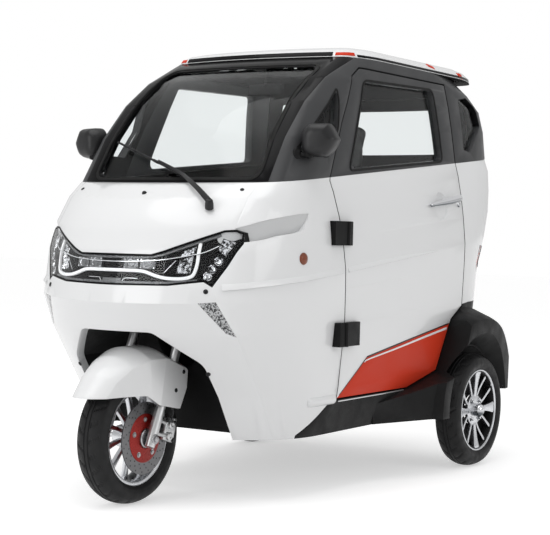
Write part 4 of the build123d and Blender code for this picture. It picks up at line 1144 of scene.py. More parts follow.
for side, word in SIDES:
    skin = door_skins[word]
    # These dark strips along the red panel's top and front edges are a painted shadow line.
    dark = bmesh.new()
    sweep(dark, trace(skin, word, PANEL_TOP, 0.0002), 0.0050, 0.0022)
    sweep(dark, trace(skin, word, PANEL_FRONT, 0.0002, 3), 0.0030, 0.0020)
    new_piece(f"panel_painted_shadow_line_{word}", dark, dark_trim, f"door_{word}", 0.0004)
    pale = bmesh.new()
    frames = trace(skin, word, PANEL_LIP, 0.0008)
    sizes = [0.35 + 0.65 * index / (len(frames) - 1) for index in range(len(frames))]
    sweep(pale, [place @ Matrix.Diagonal((size, 1, 1, 1)) for place, size in zip(frames, sizes)],
          0.0090, 0.0035)
    new_piece(f"panel_white_lip_{word}", pale, white_paint, f"door_{word}", 0.0010)
    hollow = bmesh.new()
    spot = mount_on(skin, word, HOLLOW_PLACE)
    lathe(hollow, ((0.0, 0.030), (HOLLOW_RADIUS + 0.006, 0.030), (HOLLOW_RADIUS, 0.0),
                   (HOLLOW_RADIUS * 0.92, -HOLLOW_DEPTH * 0.45), (HOLLOW_RADIUS * 0.70, -HOLLOW_DEPTH * 0.82),
                   (HOLLOW_RADIUS * 0.40, -HOLLOW_DEPTH), (0.0, -HOLLOW_DEPTH * 1.04)), spot, 40)
    bmesh.ops.remove_doubles(hollow, verts=hollow.verts, dist=0.00001)
    carve(f"door_skin_{word}", f"door_shell_{word}", hollow, white_paint, f"door_{word}")
    grip = bmesh.new()
    rows = smooth_path([Vector((*spot_on(skin, word, row[:2], row[2])[0], row[3])) for row in HANDLE_LINE], 4)
    path = [Vector(row[:3]) for row in rows]
    frames = frames_on(path, [Vector((side, 0, 0))] * len(path))
    sweep(grip, [place @ Matrix.Diagonal((row[3], row[3] * 0.62, 1, 1)) for place, row in zip(frames, rows)],
          1.0, 1.0, 16)
    for distance, z, lift in ((1.262, 1.064, 0.018), (1.462, 1.092, 0.026)):
        foot, normal = spot_on(skin, word, (distance, z), -0.002)
        sweep(grip, frames_on([foot, foot + normal * lift], [Vector((0, 0, 1))] * 2), 0.018, 0.016, 12)
    lock = mount_on(skin, word, (1.505, 1.072))
    lathe(grip, ((0.011, -0.001), (0.011, 0.003), (0.009, 0.0045), (0.003, 0.0045), (0.003, 0.003),
                 (0.0, 0.003)), lock, 24)
    handle = new_piece(f"door_grip_{word}", grip, chrome, f"door_{word}", 0.0006)
    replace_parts(handle, f"door_handle_{word}")

# %% [markdown]
# ## Linings and window seals
#
# From inside, such a cab is lined with black board and moulded trim. Each lining follows
# the inner wall of its panel: the faces that look towards the middle of the cab are copied,
# drawn in a little from the panel's edge, and given a few millimetres of thickness.

# %% linings on the inner walls
lining_board = finish_material("lining_board", (0.008, 0.008, 0.0085), 0.75, grain=0.35,
                               grain_size=0.003, vary=0.08, vary_size=0.1, specular=0.08)
CAB_MIDDLE = at(0, 1.02, 0.86)
FACES_INWARD = 0.42
LINING_GAP = 0.0006
LINING_THICKNESS = 0.0030
LININGS = (
    # piece, panels, body, margin left bare along the panel's edge
    ("door_lining_left", ("door_shell_left", "door_trim_left"), "door_left", 0.012),
    ("door_lining_right", ("door_shell_right", "door_trim_right"), "door_right", 0.012),
    ("footwell_lining", ("front_quarters", "nose_mask", "bonnet"), "root", 0.008),
    ("rear_side_lining", ("rear_quarters", "rear_panel"), "root", 0.008),
    ("headlining", ("roof_panel",), "root", 0.006),
    ("pillar_lining", ("cab_side_frames", "windscreen_frame"), "root", 0.0025),
    ("tailgate_lining", ("tailgate",), "tailgate", 0.0025),
)


def lining(name, panels, body, margin):
    """A thin board on the faces of some panels that look towards the middle of the cab."""
    board = bmesh.new()
    for panel in panels:
        side = copy_of(panel)
        outward = []
        for face in side.faces:
            towards = (CAB_MIDDLE - face.calc_center_median()).normalized()
            if face.normal.dot(towards) < FACES_INWARD:
                outward.append(face)
        bmesh.ops.delete(side, geom=outward, context="FACES")
        mesh = bpy.data.meshes.new("lining_side")
        side.to_mesh(mesh)
        side.free()
        board.from_mesh(mesh)
        bpy.data.meshes.remove(mesh)
    rim = bmesh.ops.inset_region(board, faces=board.faces[:], thickness=margin)["faces"]
    bmesh.ops.delete(board, geom=rim, context="FACES")
    board.normal_update()
    pushes = {vert: vert.normal.copy() for vert in board.verts}
    for vert, normal in pushes.items():
        vert.co += LINING_GAP * normal
    front = bmesh.ops.extrude_face_region(board, geom=board.faces[:], use_keep_orig=True)["geom"]
    for vert in [part for part in front if isinstance(part, bmesh.types.BMVert)]:
        vert.co += LINING_THICKNESS * vert.normal
    new_piece(name, board, lining_board, body)


for name, panels, body, margin in LININGS:
    lining(name, panels, body, margin)
print("linings:", len(LININGS))

# %% [markdown]
# The panes sit in black rubber seals, except for the rear quarter lights. A seal is a low
# flat lip all the way round the opening, swept along a line traced on the frame.

# %% seals round the panes
def grown(corners, reach):
    """An outline's corners, each moved away from its middle by about the reach."""
    middle = [sum(values) / len(corners) for values in zip(*corners)]
    half = [max(abs(value - centre) for value in values)
            for values, centre in zip(zip(*corners), middle)]
    return tuple(
        tuple(centre + (value - centre) * (1 + reach / size)
              for value, centre, size in zip(corner, middle, half))
        for corner in corners)


FRONT_SEAL = ((-0.352, 1.130), (0.352, 1.130), (0.334, 1.556), (-0.334, 1.556))
REAR_SEAL = ((-0.306, 1.302), (0.306, 1.302), (0.292, 1.500), (-0.292, 1.500))
DOOR_SEAL = ((0.660, 1.178), (0.812, 1.508), (1.364, 1.522), (1.402, 1.246))
FRONT_LIGHT = ((0.336, 1.222), (0.505, 1.216), (0.586, 1.318), (0.616, 1.462))
SEALS = [
    # piece, carriers, view, corners, corner radius, width, height, body
    ("windscreen_seal", ("windscreen_frame",), "front", grown(FRONT_SEAL, 0.008), 0.044,
     0.012, 0.004, "root"),
    ("rear_window_seal", ("tailgate",), "rear", grown(REAR_SEAL, 0.008), 0.048,
     0.012, 0.004, "tailgate"),
]
for _, word in SIDES:
    SEALS += [
        (f"door_window_seal_{word}", (f"door_frame_{word}",), word, grown(DOOR_SEAL, 0.007), 0.030,
         0.009, 0.0035, f"door_{word}"),
        (f"front_light_seal_{word}", ("cab_side_frames",), word, grown(FRONT_LIGHT, 0.006), 0.012,
         0.006, 0.003, "root"),
    ]
for name, carriers, view, corners, radius, width, height, body in SEALS:
    seal = bmesh.new()
    frames = trace(skin_of(*carriers), view, rounded(corners, radius, 4, 8), 0.0008, 1, closed=True)
    sweep(seal, frames, width, height, 4, closed=True)
    new_piece(name, seal, seal_rubber, body, 0.0008)
print("seals:", len(SEALS))

# %% [markdown]
# ## Mirrors
#
# A mirror is a deep rounded shell with six soft corners, open to the rear, where its glass
# sits a few millimetres inside the rim. The shell is a row of rings of one outline, small at
# the front and full at the rim, bridged to each other. A ball and a short stalk carry it.

# %% mirror shells, glasses and stalks
MIRROR_PLACE = at(0.510, 0.384, 1.265)
MIRROR_HALF = Vector((0.0655, 0.0385, 0.0585))
MIRROR_TURN = 16
MIRROR_OUTLINE = ((-0.62, -1.0), (0.25, -0.98), (0.66, -0.70), (0.99, -0.06), (0.97, 0.14), (0.62, 0.84),
                  (0.38, 1.0), (-0.45, 1.0), (-0.88, 0.62), (-1.0, 0.0), (-0.95, -0.72))
# columns: place from front (-1) to rear (1), share of the outline
MIRROR_RINGS = ((-0.99, 0.42), (-0.93, 0.62), (-0.74, 0.80), (-0.40, 0.92), (0.10, 0.985), (0.70, 1.0),
                (0.99, 0.985), (1.0, 0.955), (0.93, 0.935), (0.80, 0.925))
mirror_glass = finish_material("mirror_glass", (0.70, 0.73, 0.76), 0.05, metallic=1.0, vary=0.02,
                               vary_size=0.08)
mirror_shell = finish_material("mirror_shell", (0.012, 0.012, 0.013), 0.36, grain=0.2, grain_size=0.0012,
                               vary=0.08, vary_size=0.04, specular=0.35)


def mirror_ring(bm, side, depth, share):
    """One closed ring of a mirror's outline."""
    centre = Vector((side * MIRROR_PLACE.x, MIRROR_PLACE.y, MIRROR_PLACE.z))
    lean = Matrix.Translation(centre) @ Matrix.Rotation(math.radians(side * MIRROR_TURN), 4, "Z")
    points = smooth_path([Vector((x, z, 0)) for x, z in MIRROR_OUTLINE], 5, closed=True)
    verts = []
    for point in points:
        reach = Vector((side * min(max(point.x, -1), 1) * share * MIRROR_HALF.x, depth * MIRROR_HALF.y,
                        min(max(point.y, -1), 1) * share * MIRROR_HALF.z))
        verts.append(bm.verts.new(lean @ reach))
    return [bm.edges.new((verts[i - 1], verts[i])) for i in range(len(verts))]


shells = bmesh.new()
glasses = bmesh.new()
stalks = bmesh.new()
for side, _ in SIDES:
    rings = [mirror_ring(shells, side, depth, share) for depth, share in MIRROR_RINGS]
    for first, second in zip(rings, rings[1:]):
        bmesh.ops.bridge_loops(shells, edges=first + second)
    for end in (rings[0], rings[-1]):
        bmesh.ops.contextual_create(shells, geom=end)
    pane = [mirror_ring(glasses, side, depth, 0.915) for depth in (0.82, 0.86)]
    bmesh.ops.bridge_loops(glasses, edges=pane[0] + pane[1])
    for end in pane:
        bmesh.ops.contextual_create(glasses, geom=end)
    foot = at(side * 0.440, 0.354, 1.213)
    elbow = at(side * 0.476, 0.364, 1.212)
    head = at(side * 0.500, 0.380, 1.228)
    tube(stalks, (foot, (foot + elbow) / 2, elbow, head), 0.020, 14)
    lathe(stalks, ((0.0, 0.015), (0.008, 0.0135), (0.0135, 0.008), (0.015, 0.0), (0.0135, -0.008),
                   (0.0, -0.013)), Matrix.Translation(elbow), 20)
    foot_normal = Vector((side, -0.12, 0.1))
    lathe(stalks, ((0.0, 0.016), (0.012, 0.016), (0.015, 0.012), (0.024, 0.006), (0.026, 0.0),
                   (0.026, -0.006)), facing(foot, foot_normal), 24)
housings = new_piece("mirror_housings", shells, mirror_shell, "root", 0.0006)
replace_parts(housings, "mirrors")
new_piece("mirror_glasses", glasses, mirror_glass, "root", 0.0004)
new_piece("mirror_stalks", stalks, black_plastic, "root", 0.0004)

# %% [markdown]
# ## Wiper, washer and inside mirror
#
# The wiper arm is a flat tapered bar on a capped pivot. It bends once and ends in a hook
# that carries the blade: a slim steel spine, two yokes and a rubber strip.

# %% the wiper
WIPER_PIVOT = (at(0.288, 0.044, 1.021), at(0.296, 0.031, 1.043))
WIPER_ARM = (at(0.294, 0.030, 1.044), at(0.235, 0.060, 1.079), at(0.160, 0.108, 1.112),
             at(0.067, 0.180, 1.143), at(-0.060, 0.218, 1.188))
WIPER_BLADE = (at(-0.298, 0.289, 1.261), at(-0.090, 0.238, 1.189), at(0.120, 0.184, 1.116))
wiper_up = Vector((0.10, -0.90, 0.45)).normalized()
arm = bmesh.new()
path = smooth_path(list(WIPER_ARM), 8)
frames = frames_on(path, [wiper_up] * len(path))
tapered = []
for index, frame_here in enumerate(frames):
    share = index / (len(frames) - 1)
    tapered.append(frame_here @ Matrix.Diagonal((0.021 - 0.012 * share, 0.010 - 0.005 * share, 1, 1)))
sweep(arm, tapered, 1.0, 1.0)
pivot_axis = WIPER_PIVOT[1] - WIPER_PIVOT[0]
lathe(arm, ((0.0, 0.027), (0.008, 0.0265), (0.0125, 0.022), (0.0145, 0.010), (0.0148, 0.0), (0.0148, -0.008)),
      facing(WIPER_PIVOT[0] + 0.2 * pivot_axis, pivot_axis), 28)
path = smooth_path(list(WIPER_BLADE), 10)
sweep(arm, frames_on(path, [wiper_up] * len(path)), 0.007, 0.006)
for share in (0.22, 0.52, 0.80):
    point = WIPER_BLADE[0].lerp(WIPER_BLADE[2], share)
    along = (WIPER_BLADE[2] - WIPER_BLADE[0]).normalized()
    slab(arm, (0.010, 0.008, 0.030), facing(point + 0.002 * wiper_up, along, wiper_up), 0.0015)
wiper_piece = new_piece("wiper_arm_and_blade", arm, dark_trim, "root", 0.0005)
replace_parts(wiper_piece, "wiper")
strip = bmesh.new()
lowered = [point - 0.0045 * wiper_up for point in path]
sweep(strip, frames_on(lowered, [wiper_up] * len(lowered)), 0.002, 0.007)
new_piece("wiper_rubber", strip, seal_rubber, "root")

# %% washer jet and inside mirror
jet = bmesh.new()
cowl = skin_of("bonnet", "windscreen_frame", "headlamp_unit")
base = mount_on(cowl, "front", (0.012, 1.067))
lathe(jet, ((0.0, 0.0075), (0.005, 0.007), (0.0075, 0.004), (0.009, 0.0), (0.009, -0.002)), base, 20)
new_piece("washer_jet", jet, dark_trim, "root", 0.0003)
inside_mirror = bmesh.new()
INSIDE_PLACE = at(0.100, 0.668, 1.474)
slab(inside_mirror, (0.150, 0.020, 0.048), Matrix.Translation(INSIDE_PLACE) @ Matrix.Rotation(
    math.radians(-8), 4, "X"), 0.010, 3)
tube(inside_mirror, (INSIDE_PLACE + Vector((0, -0.004, 0.01)), INSIDE_PLACE + Vector((0, 0.002, 0.045)),
                     INSIDE_PLACE + Vector((0, 0.022, 0.088))), 0.012, 10)
new_piece("inside_mirror", inside_mirror, black_plastic, "root", 0.0005)

# %% [markdown]
# ## Seats
#
# The driver's seat and the rear bench are foam under black vinyl. Each cushion starts a
# little smaller than the room it has, and a short cloth simulation with air pressure inside
# puffs it up, so that its faces crown and its sides pull in between the corners. How far a
# point may move is capped. Sewn channels are pressed in after that.

# %% vinyl
seat_vinyl = finish_material("seat_vinyl", (0.013, 0.013, 0.014), 0.42, grain=0.0, vary=0.08, vary_size=0.05,
                             specular=0.35)
tree = seat_vinyl.node_tree
place_node = tree.nodes.new("ShaderNodeTexCoord")
pores = tree.nodes.new("ShaderNodeTexVoronoi")
pores.feature = "DISTANCE_TO_EDGE"
pores.inputs["Scale"].default_value = 420
leather = tree.nodes.new("ShaderNodeBump")
leather.inputs["Strength"].default_value = 0.35
leather.inputs["Distance"].default_value = 0.0006
tree.links.new(place_node.outputs["Object"], pores.inputs["Vector"])
tree.links.new(pores.outputs["Distance"], leather.inputs["Height"])
tree.links.new(leather.outputs["Normal"], tree.nodes["Principled BSDF"].inputs["Normal"])

# %% a puffed cushion
SEAT_LEAN = Matrix.Rotation(math.radians(-10), 4, "X")
AIR_PRESSURE = 4
CLOTH_STEPS = 20
CHANNEL_WIDTH = 0.006
CHANNEL_DEPTH = 0.006
CHANNEL_REACH = 0.80


def level(x, distance, z):
    """A level place for a cushion."""
    return Matrix.Translation(at(x, distance, z))


def puffed(name, size, placing, node, voxel, cap, channels):
    """A cushion: a rounded block swollen by air pressure, with sewn channels across its front."""
    inner = tuple(length - 1.6 * cap for length in size)
    start = bmesh.new()
    slab(start, inner, Matrix.Identity(4), min(inner) * 0.30, 4)
    mesh = bpy.data.meshes.new(name)
    start.to_mesh(mesh)
    start.free()
    piece = bpy.data.objects.new(name, mesh)
    bpy.context.scene.collection.objects.link(piece)
    remesh = piece.modifiers.new("even_mesh", "REMESH")
    remesh.mode = "VOXEL"
    remesh.voxel_size = voxel
    depsgraph = bpy.context.evaluated_depsgraph_get()
    even = bpy.data.meshes.new_from_object(piece.evaluated_get(depsgraph))
    piece.modifiers.clear()
    piece.data = even
    before = [vert.co.copy() for vert in even.vertices]
    cloth = piece.modifiers.new("air", "CLOTH")
    cloth.settings.use_pressure = True
    cloth.settings.uniform_pressure_force = AIR_PRESSURE
    cloth.settings.effector_weights.gravity = 0
    for step in range(1, CLOTH_STEPS + 1):
        bpy.context.scene.frame_set(step)
    swollen = piece.evaluated_get(bpy.context.evaluated_depsgraph_get())
    after = [vert.co.copy() for vert in swollen.data.vertices]
    piece.modifiers.clear()
    bpy.context.scene.frame_set(1)
    half = Vector(size) / 2
    for vert, first, last in zip(even.vertices, before, after):
        move = last - first
        if move.length > cap:
            move = move.normalized() * cap
        point = first + move
        point = Vector([min(max(c, -h), h) for c, h in zip(point, half)])
        vert.co = point
    pads = bmesh.new()
    pads.from_mesh(even)
    bmesh.ops.smooth_vert(pads, verts=pads.verts, factor=0.5, use_axis_x=True, use_axis_y=True,
                          use_axis_z=True)
    for axis, reach_axis, lines, front_axis, sign in channels:
        for line in lines:
            for vert in pads.verts:
                off = (vert.co[axis] - line) / CHANNEL_WIDTH
                within = abs(vert.co[reach_axis]) < half[reach_axis] * CHANNEL_REACH
                if abs(off) < 3 and within and sign * vert.co[front_axis] > 0:
                    vert.co[front_axis] -= sign * CHANNEL_DEPTH * math.exp(-off * off)
    pads.transform(placing)
    bpy.data.objects.remove(piece)
    cushion = new_piece(name, pads, seat_vinyl, "root")
    finer = cushion.modifiers.new("finer", "SUBSURF")
    finer.levels = 1
    finer.render_levels = 1
    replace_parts(cushion, node)


# %% the five cushions
CUSHIONS = (
    # name, size, place, node, voxel, cap, channels (across, along, lines, face, direction)
    ("seat_cushion", (0.410, 0.370, 0.150), level(0, 1.065, 0.545), "driver_seat", 0.008, 0.018,
     ((0, 1, (-0.125, 0.125), 2, 1), (1, 0, (-0.075, 0.0, 0.075), 2, 1))),
    ("seat_back", (0.400, 0.090, 0.545), level(0, 1.255, 0.900) @ SEAT_LEAN, "driver_seat", 0.008, 0.014,
     ((0, 2, (-0.120, 0.120), 1, -1), (2, 0, (-0.15, -0.075, 0.0, 0.075, 0.15), 1, -1))),
    ("seat_head_rest", (0.370, 0.092, 0.215), level(0, 1.285, 1.283) @ SEAT_LEAN, "driver_seat", 0.006, 0.012,
     ()),
    ("bench_cushion", (0.655, 0.315, 0.155), level(0, 1.600, 0.560), "rear_bench", 0.009, 0.018,
     ((0, 1, (-0.160, 0.0, 0.160), 2, 1),)),
    ("bench_back", (0.655, 0.080, 0.415), level(0, 1.790, 0.860) @ SEAT_LEAN, "rear_bench", 0.009, 0.013,
     ((0, 2, (-0.160, 0.0, 0.160), 1, -1),)),
)
for name, size, placing, node, voxel, cap, channels in CUSHIONS:
    puffed(name, size, placing, node, voxel, cap, channels)
print("cushions:", len(CUSHIONS))

# %% [markdown]
# The seat stands on a painted steel box with a folded rim, and two bright rods carry the
# head rest.

# %% seat box and head rest rods
under = bmesh.new()
slab(under, (0.400, 0.360, 0.036), level(0, 1.065, 0.451), 0.006)
slab(under, (0.360, 0.320, 0.020), level(0, 1.065, 0.441), 0.004)
new_piece("seat_box", under, frame_steel, "root")
ROD_X = 0.055
rods = bmesh.new()
for side, _ in SIDES:
    tube(rods, (at(side * ROD_X, 1.285, 1.150), at(side * ROD_X, 1.293, 1.195),
                at(side * ROD_X, 1.300, 1.240)), 0.012, 12)
new_piece("head_rest_rods", rods, chrome, "root")

# %% [markdown]
# ## Handlebar and dashboard
#
# The car is steered with a scooter's handlebar. Each end has a ribbed rubber grip, a lever
# and a switch box, and the dashboard behind it holds a dark screen in a raised frame.

# %% grips, levers and switch boxes
STEER_FOOT = at(0, 0.04 * math.cos(RAKE), WHEEL_RADIUS - 0.04 * math.sin(RAKE))
AHEAD_OF_FORK = Vector((0, -math.cos(RAKE), math.sin(RAKE)))
BAR_BEND = STEER_FOOT + 0.920 * UP_FORK
BAR_END = STEER_FOOT + 0.960 * UP_FORK - 0.130 * AHEAD_OF_FORK
grip_rubber = finish_material("grip_rubber", (0.010, 0.010, 0.010), 0.7, grain=0.4, grain_size=0.002,
                              vary=0.08, vary_size=0.02, specular=0.2)
grips = bmesh.new()
levers = bmesh.new()
switches = bmesh.new()
for side, _ in SIDES:
    bend = BAR_BEND + Vector((side * 0.110, 0, 0))
    end = BAR_END + Vector((side * 0.300, 0, 0))
    along = (end - bend).normalized()
    ahead = Vector((0, -1, 0)) - along * Vector((0, -1, 0)).dot(along)
    ahead.normalize()
    start = end - 0.128 * along
    profile = [(0.0112, 0.0)]
    for rib in range(12):
        foot = 0.004 + rib * 0.0100
        profile += [(0.0160, foot), (0.0172, foot + 0.0015), (0.0172, foot + 0.0065), (0.0160, foot + 0.0080)]
    profile += [(0.0185, 0.1245), (0.0185, 0.1285), (0.0150, 0.1300), (0.0, 0.1300)]
    lathe(grips, profile, facing(start, along, ahead), 24)
    box_place = facing(start - 0.030 * along, along, ahead)
    slab(switches, (0.040, 0.046, 0.044), box_place, 0.009, 3)
    for offset in (-0.010, 0.010):
        button = box_place @ Matrix.Translation((-side * 0.020, -0.008, offset))
        slab(switches, (0.010, 0.012, 0.010), button, 0.002)
    lever = [start - 0.038 * along + 0.026 * ahead, start - 0.010 * along + 0.046 * ahead,
             start + 0.050 * along + 0.050 * ahead, start + 0.120 * along + 0.046 * ahead]
    path = smooth_path(lever, 6)
    sweep(levers, frames_on(path, [ahead] * len(path)), 0.012, 0.008, 8)
    lathe(levers, ((0.0, -0.006), (0.007, -0.006), (0.008, 0.0), (0.007, 0.006), (0.0, 0.006)),
          facing(lever[-1], along, ahead), 16)
new_piece("handlebar_grips", grips, grip_rubber, "steering", 0.0003)
new_piece("brake_levers", levers, fork_silver, "steering", 0.0004)
new_piece("switch_boxes", switches, dark_trim, "steering", 0.0006)

# %% dashboard screen and vents
screen_glass = finish_material("screen_glass", (0.004, 0.005, 0.007), 0.08, vary=0.02, vary_size=0.1,
                               specular=0.4)
CLUSTER_LEAN = Matrix.Rotation(math.radians(20), 4, "X")
screen = bmesh.new()
frame_round = bmesh.new()
slab(frame_round, (0.250, 0.105, 0.018), Matrix.Translation(at(0, 0.318, 1.008)) @ CLUSTER_LEAN, 0.006, 3)
slab(screen, (0.226, 0.082, 0.004), Matrix.Translation(at(0, 0.3145, 1.0180)) @ CLUSTER_LEAN, 0.0015)
new_piece("cluster_frame", frame_round, dark_trim, "root", 0.0004)
new_piece("cluster_screen", screen, screen_glass, "root")
vents = bmesh.new()
for side, _ in SIDES:
    for slat in range(5):
        spot = Matrix.Translation(at(side * 0.255, 0.262 + 0.018 * slat, 1.0015))
        slab(vents, (0.110, 0.010, 0.004), spot, 0.0015)
new_piece("demister_vents", vents, dark_trim, "root")

# %% floor mat
floor_mat = finish_material("floor_mat", (0.012, 0.012, 0.012), 0.8, grain=0.5, grain_size=0.004, vary=0.05,
                            vary_size=0.05, specular=0.15)
mat = bmesh.new()
slab(mat, (0.700, 0.330, 0.008), Matrix.Translation(at(0, 0.690, 0.2685)), 0.003)
for row in range(11):
    slab(mat, (0.660, 0.008, 0.004), Matrix.Translation(at(0, 0.550 + 0.028 * row, 0.274)), 0.001)
new_piece("footwell_mat", mat, floor_mat, "root")

# %% [markdown]
# ## Roof, rear and tail lamps
#
# A black gutter runs along the front and sides of the roof's lower edge, with short red
# accents on it; the gutter is partly a real black line and partly painted shade for that
# shaded edge. At the rear, red ribs cross each lamp's lens, the tailgate has a pull handle
# and a lock, and a blank plate stands below it.

# %% gutter, partly painted shade, and accents
roof_skin = skin_of("roof_panel")
# The black gutter band is partly the real gutter line and partly painted shade on the roof's lower edge,
# which faces sideways and down.
gutter_and_shade = bmesh.new()
for _, word in SIDES:
    sweep(gutter_and_shade, trace(roof_skin, word, ((0.830, 1.6070), (1.100, 1.6070), (1.400, 1.6070), (1.660, 1.6070),
                                          (1.800, 1.6065)), 0.0003), 0.010, 0.004)
front_line = [(x / 10, 1.6105) for x in (-3.3, -2.2, -1.1, 0, 1.1, 2.2, 3.3)]
sweep(gutter_and_shade, trace(roof_skin, "front", front_line, 0.0003), 0.019, 0.004)
new_piece("roof_gutter_and_shade", gutter_and_shade, black_gloss, "root", 0.0008)
accents = bmesh.new()
for side, word in SIDES:
    for start, end, height in ((1.398, 1.442, 1.6280), (1.645, 1.685, 1.6140)):
        middle = (start + end) / 2
        line = ((start, height + 0.004), (middle, height), (end, height - 0.004))
        sweep(accents, trace(roof_skin, word, line, 0.0004), 0.020, 0.003)
    corner = [(side * x, z) for x, z in ((0.340, 1.6105), (0.358, 1.6110), (0.376, 1.6115), (0.392, 1.6120))]
    sweep(accents, trace(roof_skin, "front", corner, 0.0003), 0.014, 0.003)
new_piece("roof_accents", accents, red_paint, "root", 0.0006)

# %% tail lamps
lamp_cells = finish_material("lamp_cells", (0.45, 0.012, 0.010), 0.25, coat=0.3, grain=0.4, grain_size=0.004,
                             vary=0.05, vary_size=0.02, specular=0.3)
tail_skin = skin_of("tail_lamps")
rim_skin = skin_of("tail_lamps", "rear_quarters", "rear_panel")
cells = bmesh.new()
rims = bmesh.new()
for side, _ in SIDES:
    for height in (0.828, 0.844, 0.860, 0.876, 0.892):
        line = [(side * x, height) for x in (0.385, 0.400, 0.415, 0.430, 0.445)]
        sweep(cells, trace(tail_skin, "rear", line, -0.0002), 0.0075, 0.004)
    outline = ((0.368, 0.815), (0.455, 0.815), (0.455, 0.904), (0.368, 0.904))
    line = rounded([(side * x, z) for x, z in outline], 0.012, 4, 6)
    frames = trace(rim_skin, "rear", line, 0.0004, 1, closed=True)
    sweep(rims, frames, 0.006, 0.005, 4, closed=True)
new_piece("tail_lamp_cells", cells, lamp_cells, "root", 0.0004)
new_piece("tail_lamp_rims", rims, dark_trim, "root", 0.0005)

# %% tailgate handle, lock and blank plate
gate_skin = skin_of("tailgate", "rear_panel", "rear_bumper")
pull = bmesh.new()
lathe(pull, ((0.0, 0.004), (0.011, 0.004), (0.014, 0.002), (0.014, -0.003)),
      mount_on(gate_skin, "rear", (0.0, 1.075)), 28)
line = [(x, 1.030) for x in (-0.080, -0.050, 0.0, 0.050, 0.080)]
sweep(pull, trace(gate_skin, "rear", line, 0.002), 0.024, 0.014, 8)
new_piece("tailgate_pull", pull, chrome, "tailgate", 0.0004)
plate_blank = finish_material("plate_blank", (0.62, 0.62, 0.60), 0.45, grain=0.05, grain_size=0.002,
                              vary=0.08, vary_size=0.06)
_, bracket_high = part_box("plate_bracket")
plate = bmesh.new()
slab(plate, (0.240, 0.003, 0.130), Matrix.Translation(Vector((0, bracket_high.y + 0.0018, 0.490))), 0.0012)
new_piece("blank_plate", plate, plate_blank, "root")
bolts = bmesh.new()
for side, _ in SIDES:
    for height in (0.445, 0.535):
        spot = facing(Vector((side * 0.0725, bracket_high.y + 0.0032, height)), Vector((0, 1, 0)))
        hex_bolt(bolts, spot, 0.0055, 0.004)
new_piece("plate_bolts", bolts, bolt_steel, "root", 0.0002)

# %% rear bumper ribs
bumper_skin = skin_of("rear_bumper")
ribs = bmesh.new()
for height in (0.330, 0.372, 0.414):
    line = [(x / 100, height) for x in range(-34, 35, 4)]
    sweep(ribs, trace(bumper_skin, "rear", line, 0.0006), 0.010, 0.005)
new_piece("rear_bumper_ribs", ribs, dark_trim, "root", 0.0008)

# %% springs round the rear shock absorbers
coils = bmesh.new()
shock_low, shock_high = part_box("shock_absorbers")
SPRING_TURNS = 5
for side, _ in SIDES:
    centre = Vector((side * (shock_high.x - 0.036), (shock_low.y + shock_high.y) / 2, 0))
    points = []
    for step in range(SPRING_TURNS * 12 + 1):
        turn_angle = step * math.tau / 12
        rise = shock_low.z + 0.006 + (shock_high.z - shock_low.z - 0.012) * step / (SPRING_TURNS * 12)
        points.append(centre + Vector((0.026 * math.cos(turn_angle), 0.026 * math.sin(turn_angle), rise)))
    tube(coils, points, 0.007, 8, 1)
new_piece("rear_coil_springs", coils, spring_steel, "root")

# %% [markdown]
# ## Floor, light and camera
#
# The floor is one large pale sheet. To the camera, to reflections and through glass it and
# the world look white, and it still takes the car's shadow. Big soft area lamps light the
# car from above, in front and from the side, at a level where a colour comes out about as written.

# %% the floor and its white
def any_ray(tree, *kinds):
    """A value that is 1 for rays of the named kinds and 0 for others."""
    rays = tree.nodes.new("ShaderNodeLightPath")
    value = rays.outputs[f"Is {kinds[0]} Ray"]
    for kind in kinds[1:]:
        either = tree.nodes.new("ShaderNodeMath")
        either.operation = "MAXIMUM"
        tree.links.new(value, either.inputs[0])
        tree.links.new(rays.outputs[f"Is {kind} Ray"], either.inputs[1])
        value = either.outputs[0]
    return value


floor_mesh = bmesh.new()
bmesh.ops.create_grid(floor_mesh, x_segments=1, y_segments=1, size=30)
floor_data = bpy.data.meshes.new("studio_floor")
floor_mesh.to_mesh(floor_data)
floor_mesh.free()
floor = bpy.data.objects.new("studio_floor", floor_data)
bpy.context.scene.collection.objects.link(floor)
floor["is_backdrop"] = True

floor_paint = bpy.data.materials.new("studio_floor_paint")
floor_paint.use_nodes = True
tree = floor_paint.node_tree
shader = tree.nodes["Principled BSDF"]
shader.inputs["Base Color"].default_value = (0.78, 0.78, 0.78, 1)
shader.inputs["Roughness"].default_value = 0.9
shader.inputs["Specular IOR Level"].default_value = 0.1
FLOOR_GLOW = 0.50
glow = tree.nodes.new("ShaderNodeMath")
glow.operation = "MULTIPLY"
glow.inputs[1].default_value = FLOOR_GLOW
tree.links.new(any_ray(tree, "Camera", "Glossy", "Transmission"), glow.inputs[0])
shader.inputs["Emission Color"].default_value = (1, 1, 1, 1)
tree.links.new(glow.outputs[0], shader.inputs["Emission Strength"])
floor_data.materials.append(floor_paint)

# %% the world
world = bpy.data.worlds.new("studio_world")
bpy.context.scene.world = world
world.use_nodes = True
tree = world.node_tree
background = tree.nodes["Background"]
background.inputs["Color"].default_value = (1, 1, 1, 1)
WORLD_LEVEL = 0.62
brightness = tree.nodes.new("ShaderNodeMapRange")
brightness.inputs["To Min"].default_value = WORLD_LEVEL
brightness.inputs["To Max"].default_value = 1.0
tree.links.new(any_ray(tree, "Camera", "Transmission"), brightness.inputs["Value"])
tree.links.new(brightness.outputs["Result"], background.inputs["Strength"])

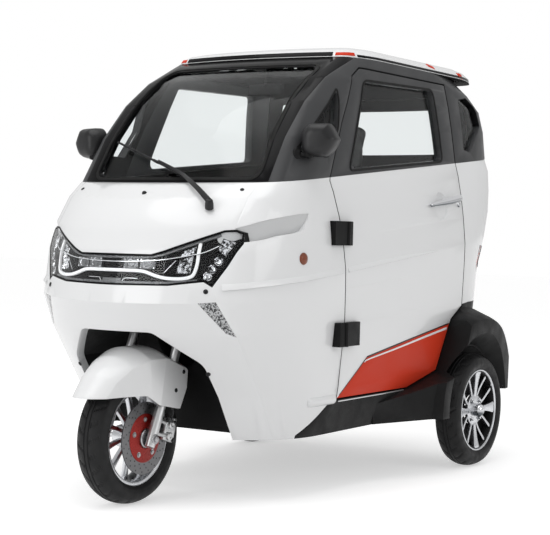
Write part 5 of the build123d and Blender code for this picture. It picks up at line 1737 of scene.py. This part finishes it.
# %% lamps
LAMPS = (
    # name, place, aimed at, size, watts
    ("overhead", (0.0, -1.0, 5.0), (0.0, 0.2, 0.8), 4.5, 86),
    ("front_fill", (-1.5, -6.0, 2.6), (0.0, -0.6, 0.9), 3.5, 82),
    ("side_fill", (5.5, 0.0, 2.4), (0.4, 0.2, 0.8), 3.0, 38),
)
for name, place, target, size, watts in LAMPS:
    data = bpy.data.lights.new(name, "AREA")
    data.shape = "DISK"
    data.size = size
    data.energy = watts
    lamp = bpy.data.objects.new(name, data)
    bpy.context.scene.collection.objects.link(lamp)
    lamp.location = place
    lamp.rotation_mode = "QUATERNION"
    lamp.rotation_quaternion = (Vector(target) - Vector(place)).to_track_quat("-Z", "Y")
bpy.context.scene.view_settings.view_transform = "Standard"

# %% the camera
CAMERA_PLACE = Vector((3.2375, -5.0516, 0.9412))
CAMERA_AZIMUTH = 0.56569
CAMERA_ELEVATION = 0.022716
CAMERA_ROLL = 0.022122
CAMERA_LENS = 100.53
back = Vector((math.sin(CAMERA_AZIMUTH) * math.cos(CAMERA_ELEVATION),
               -math.cos(CAMERA_AZIMUTH) * math.cos(CAMERA_ELEVATION),
               math.sin(CAMERA_ELEVATION)))
level_right = (-back).cross(Vector((0, 0, 1))).normalized()
level_up = level_right.cross(-back)
right = math.cos(CAMERA_ROLL) * level_right + math.sin(CAMERA_ROLL) * level_up
up = -math.sin(CAMERA_ROLL) * level_right + math.cos(CAMERA_ROLL) * level_up
turn = Matrix((right, up, back)).transposed().to_4x4()
camera_data = bpy.data.cameras.new("camera")
camera_data.sensor_width = 36
camera_data.lens = CAMERA_LENS
camera = bpy.data.objects.new("camera", camera_data)
bpy.context.scene.collection.objects.link(camera)
camera.matrix_world = Matrix.Translation(CAMERA_PLACE) @ turn
bpy.context.scene.camera = camera

# %% the sizes, and the end
dressed_low, dressed_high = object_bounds()
sizes = {
    "cad": [list(cad_low), list(cad_high)],
    "dressed": [list(dressed_low), list(dressed_high)],
}
grown = [round(1000 * v, 1) for v in (*(cad_low - dressed_low), *(dressed_high - cad_high))]
print("dressed beyond the CAD box, mm:", grown)
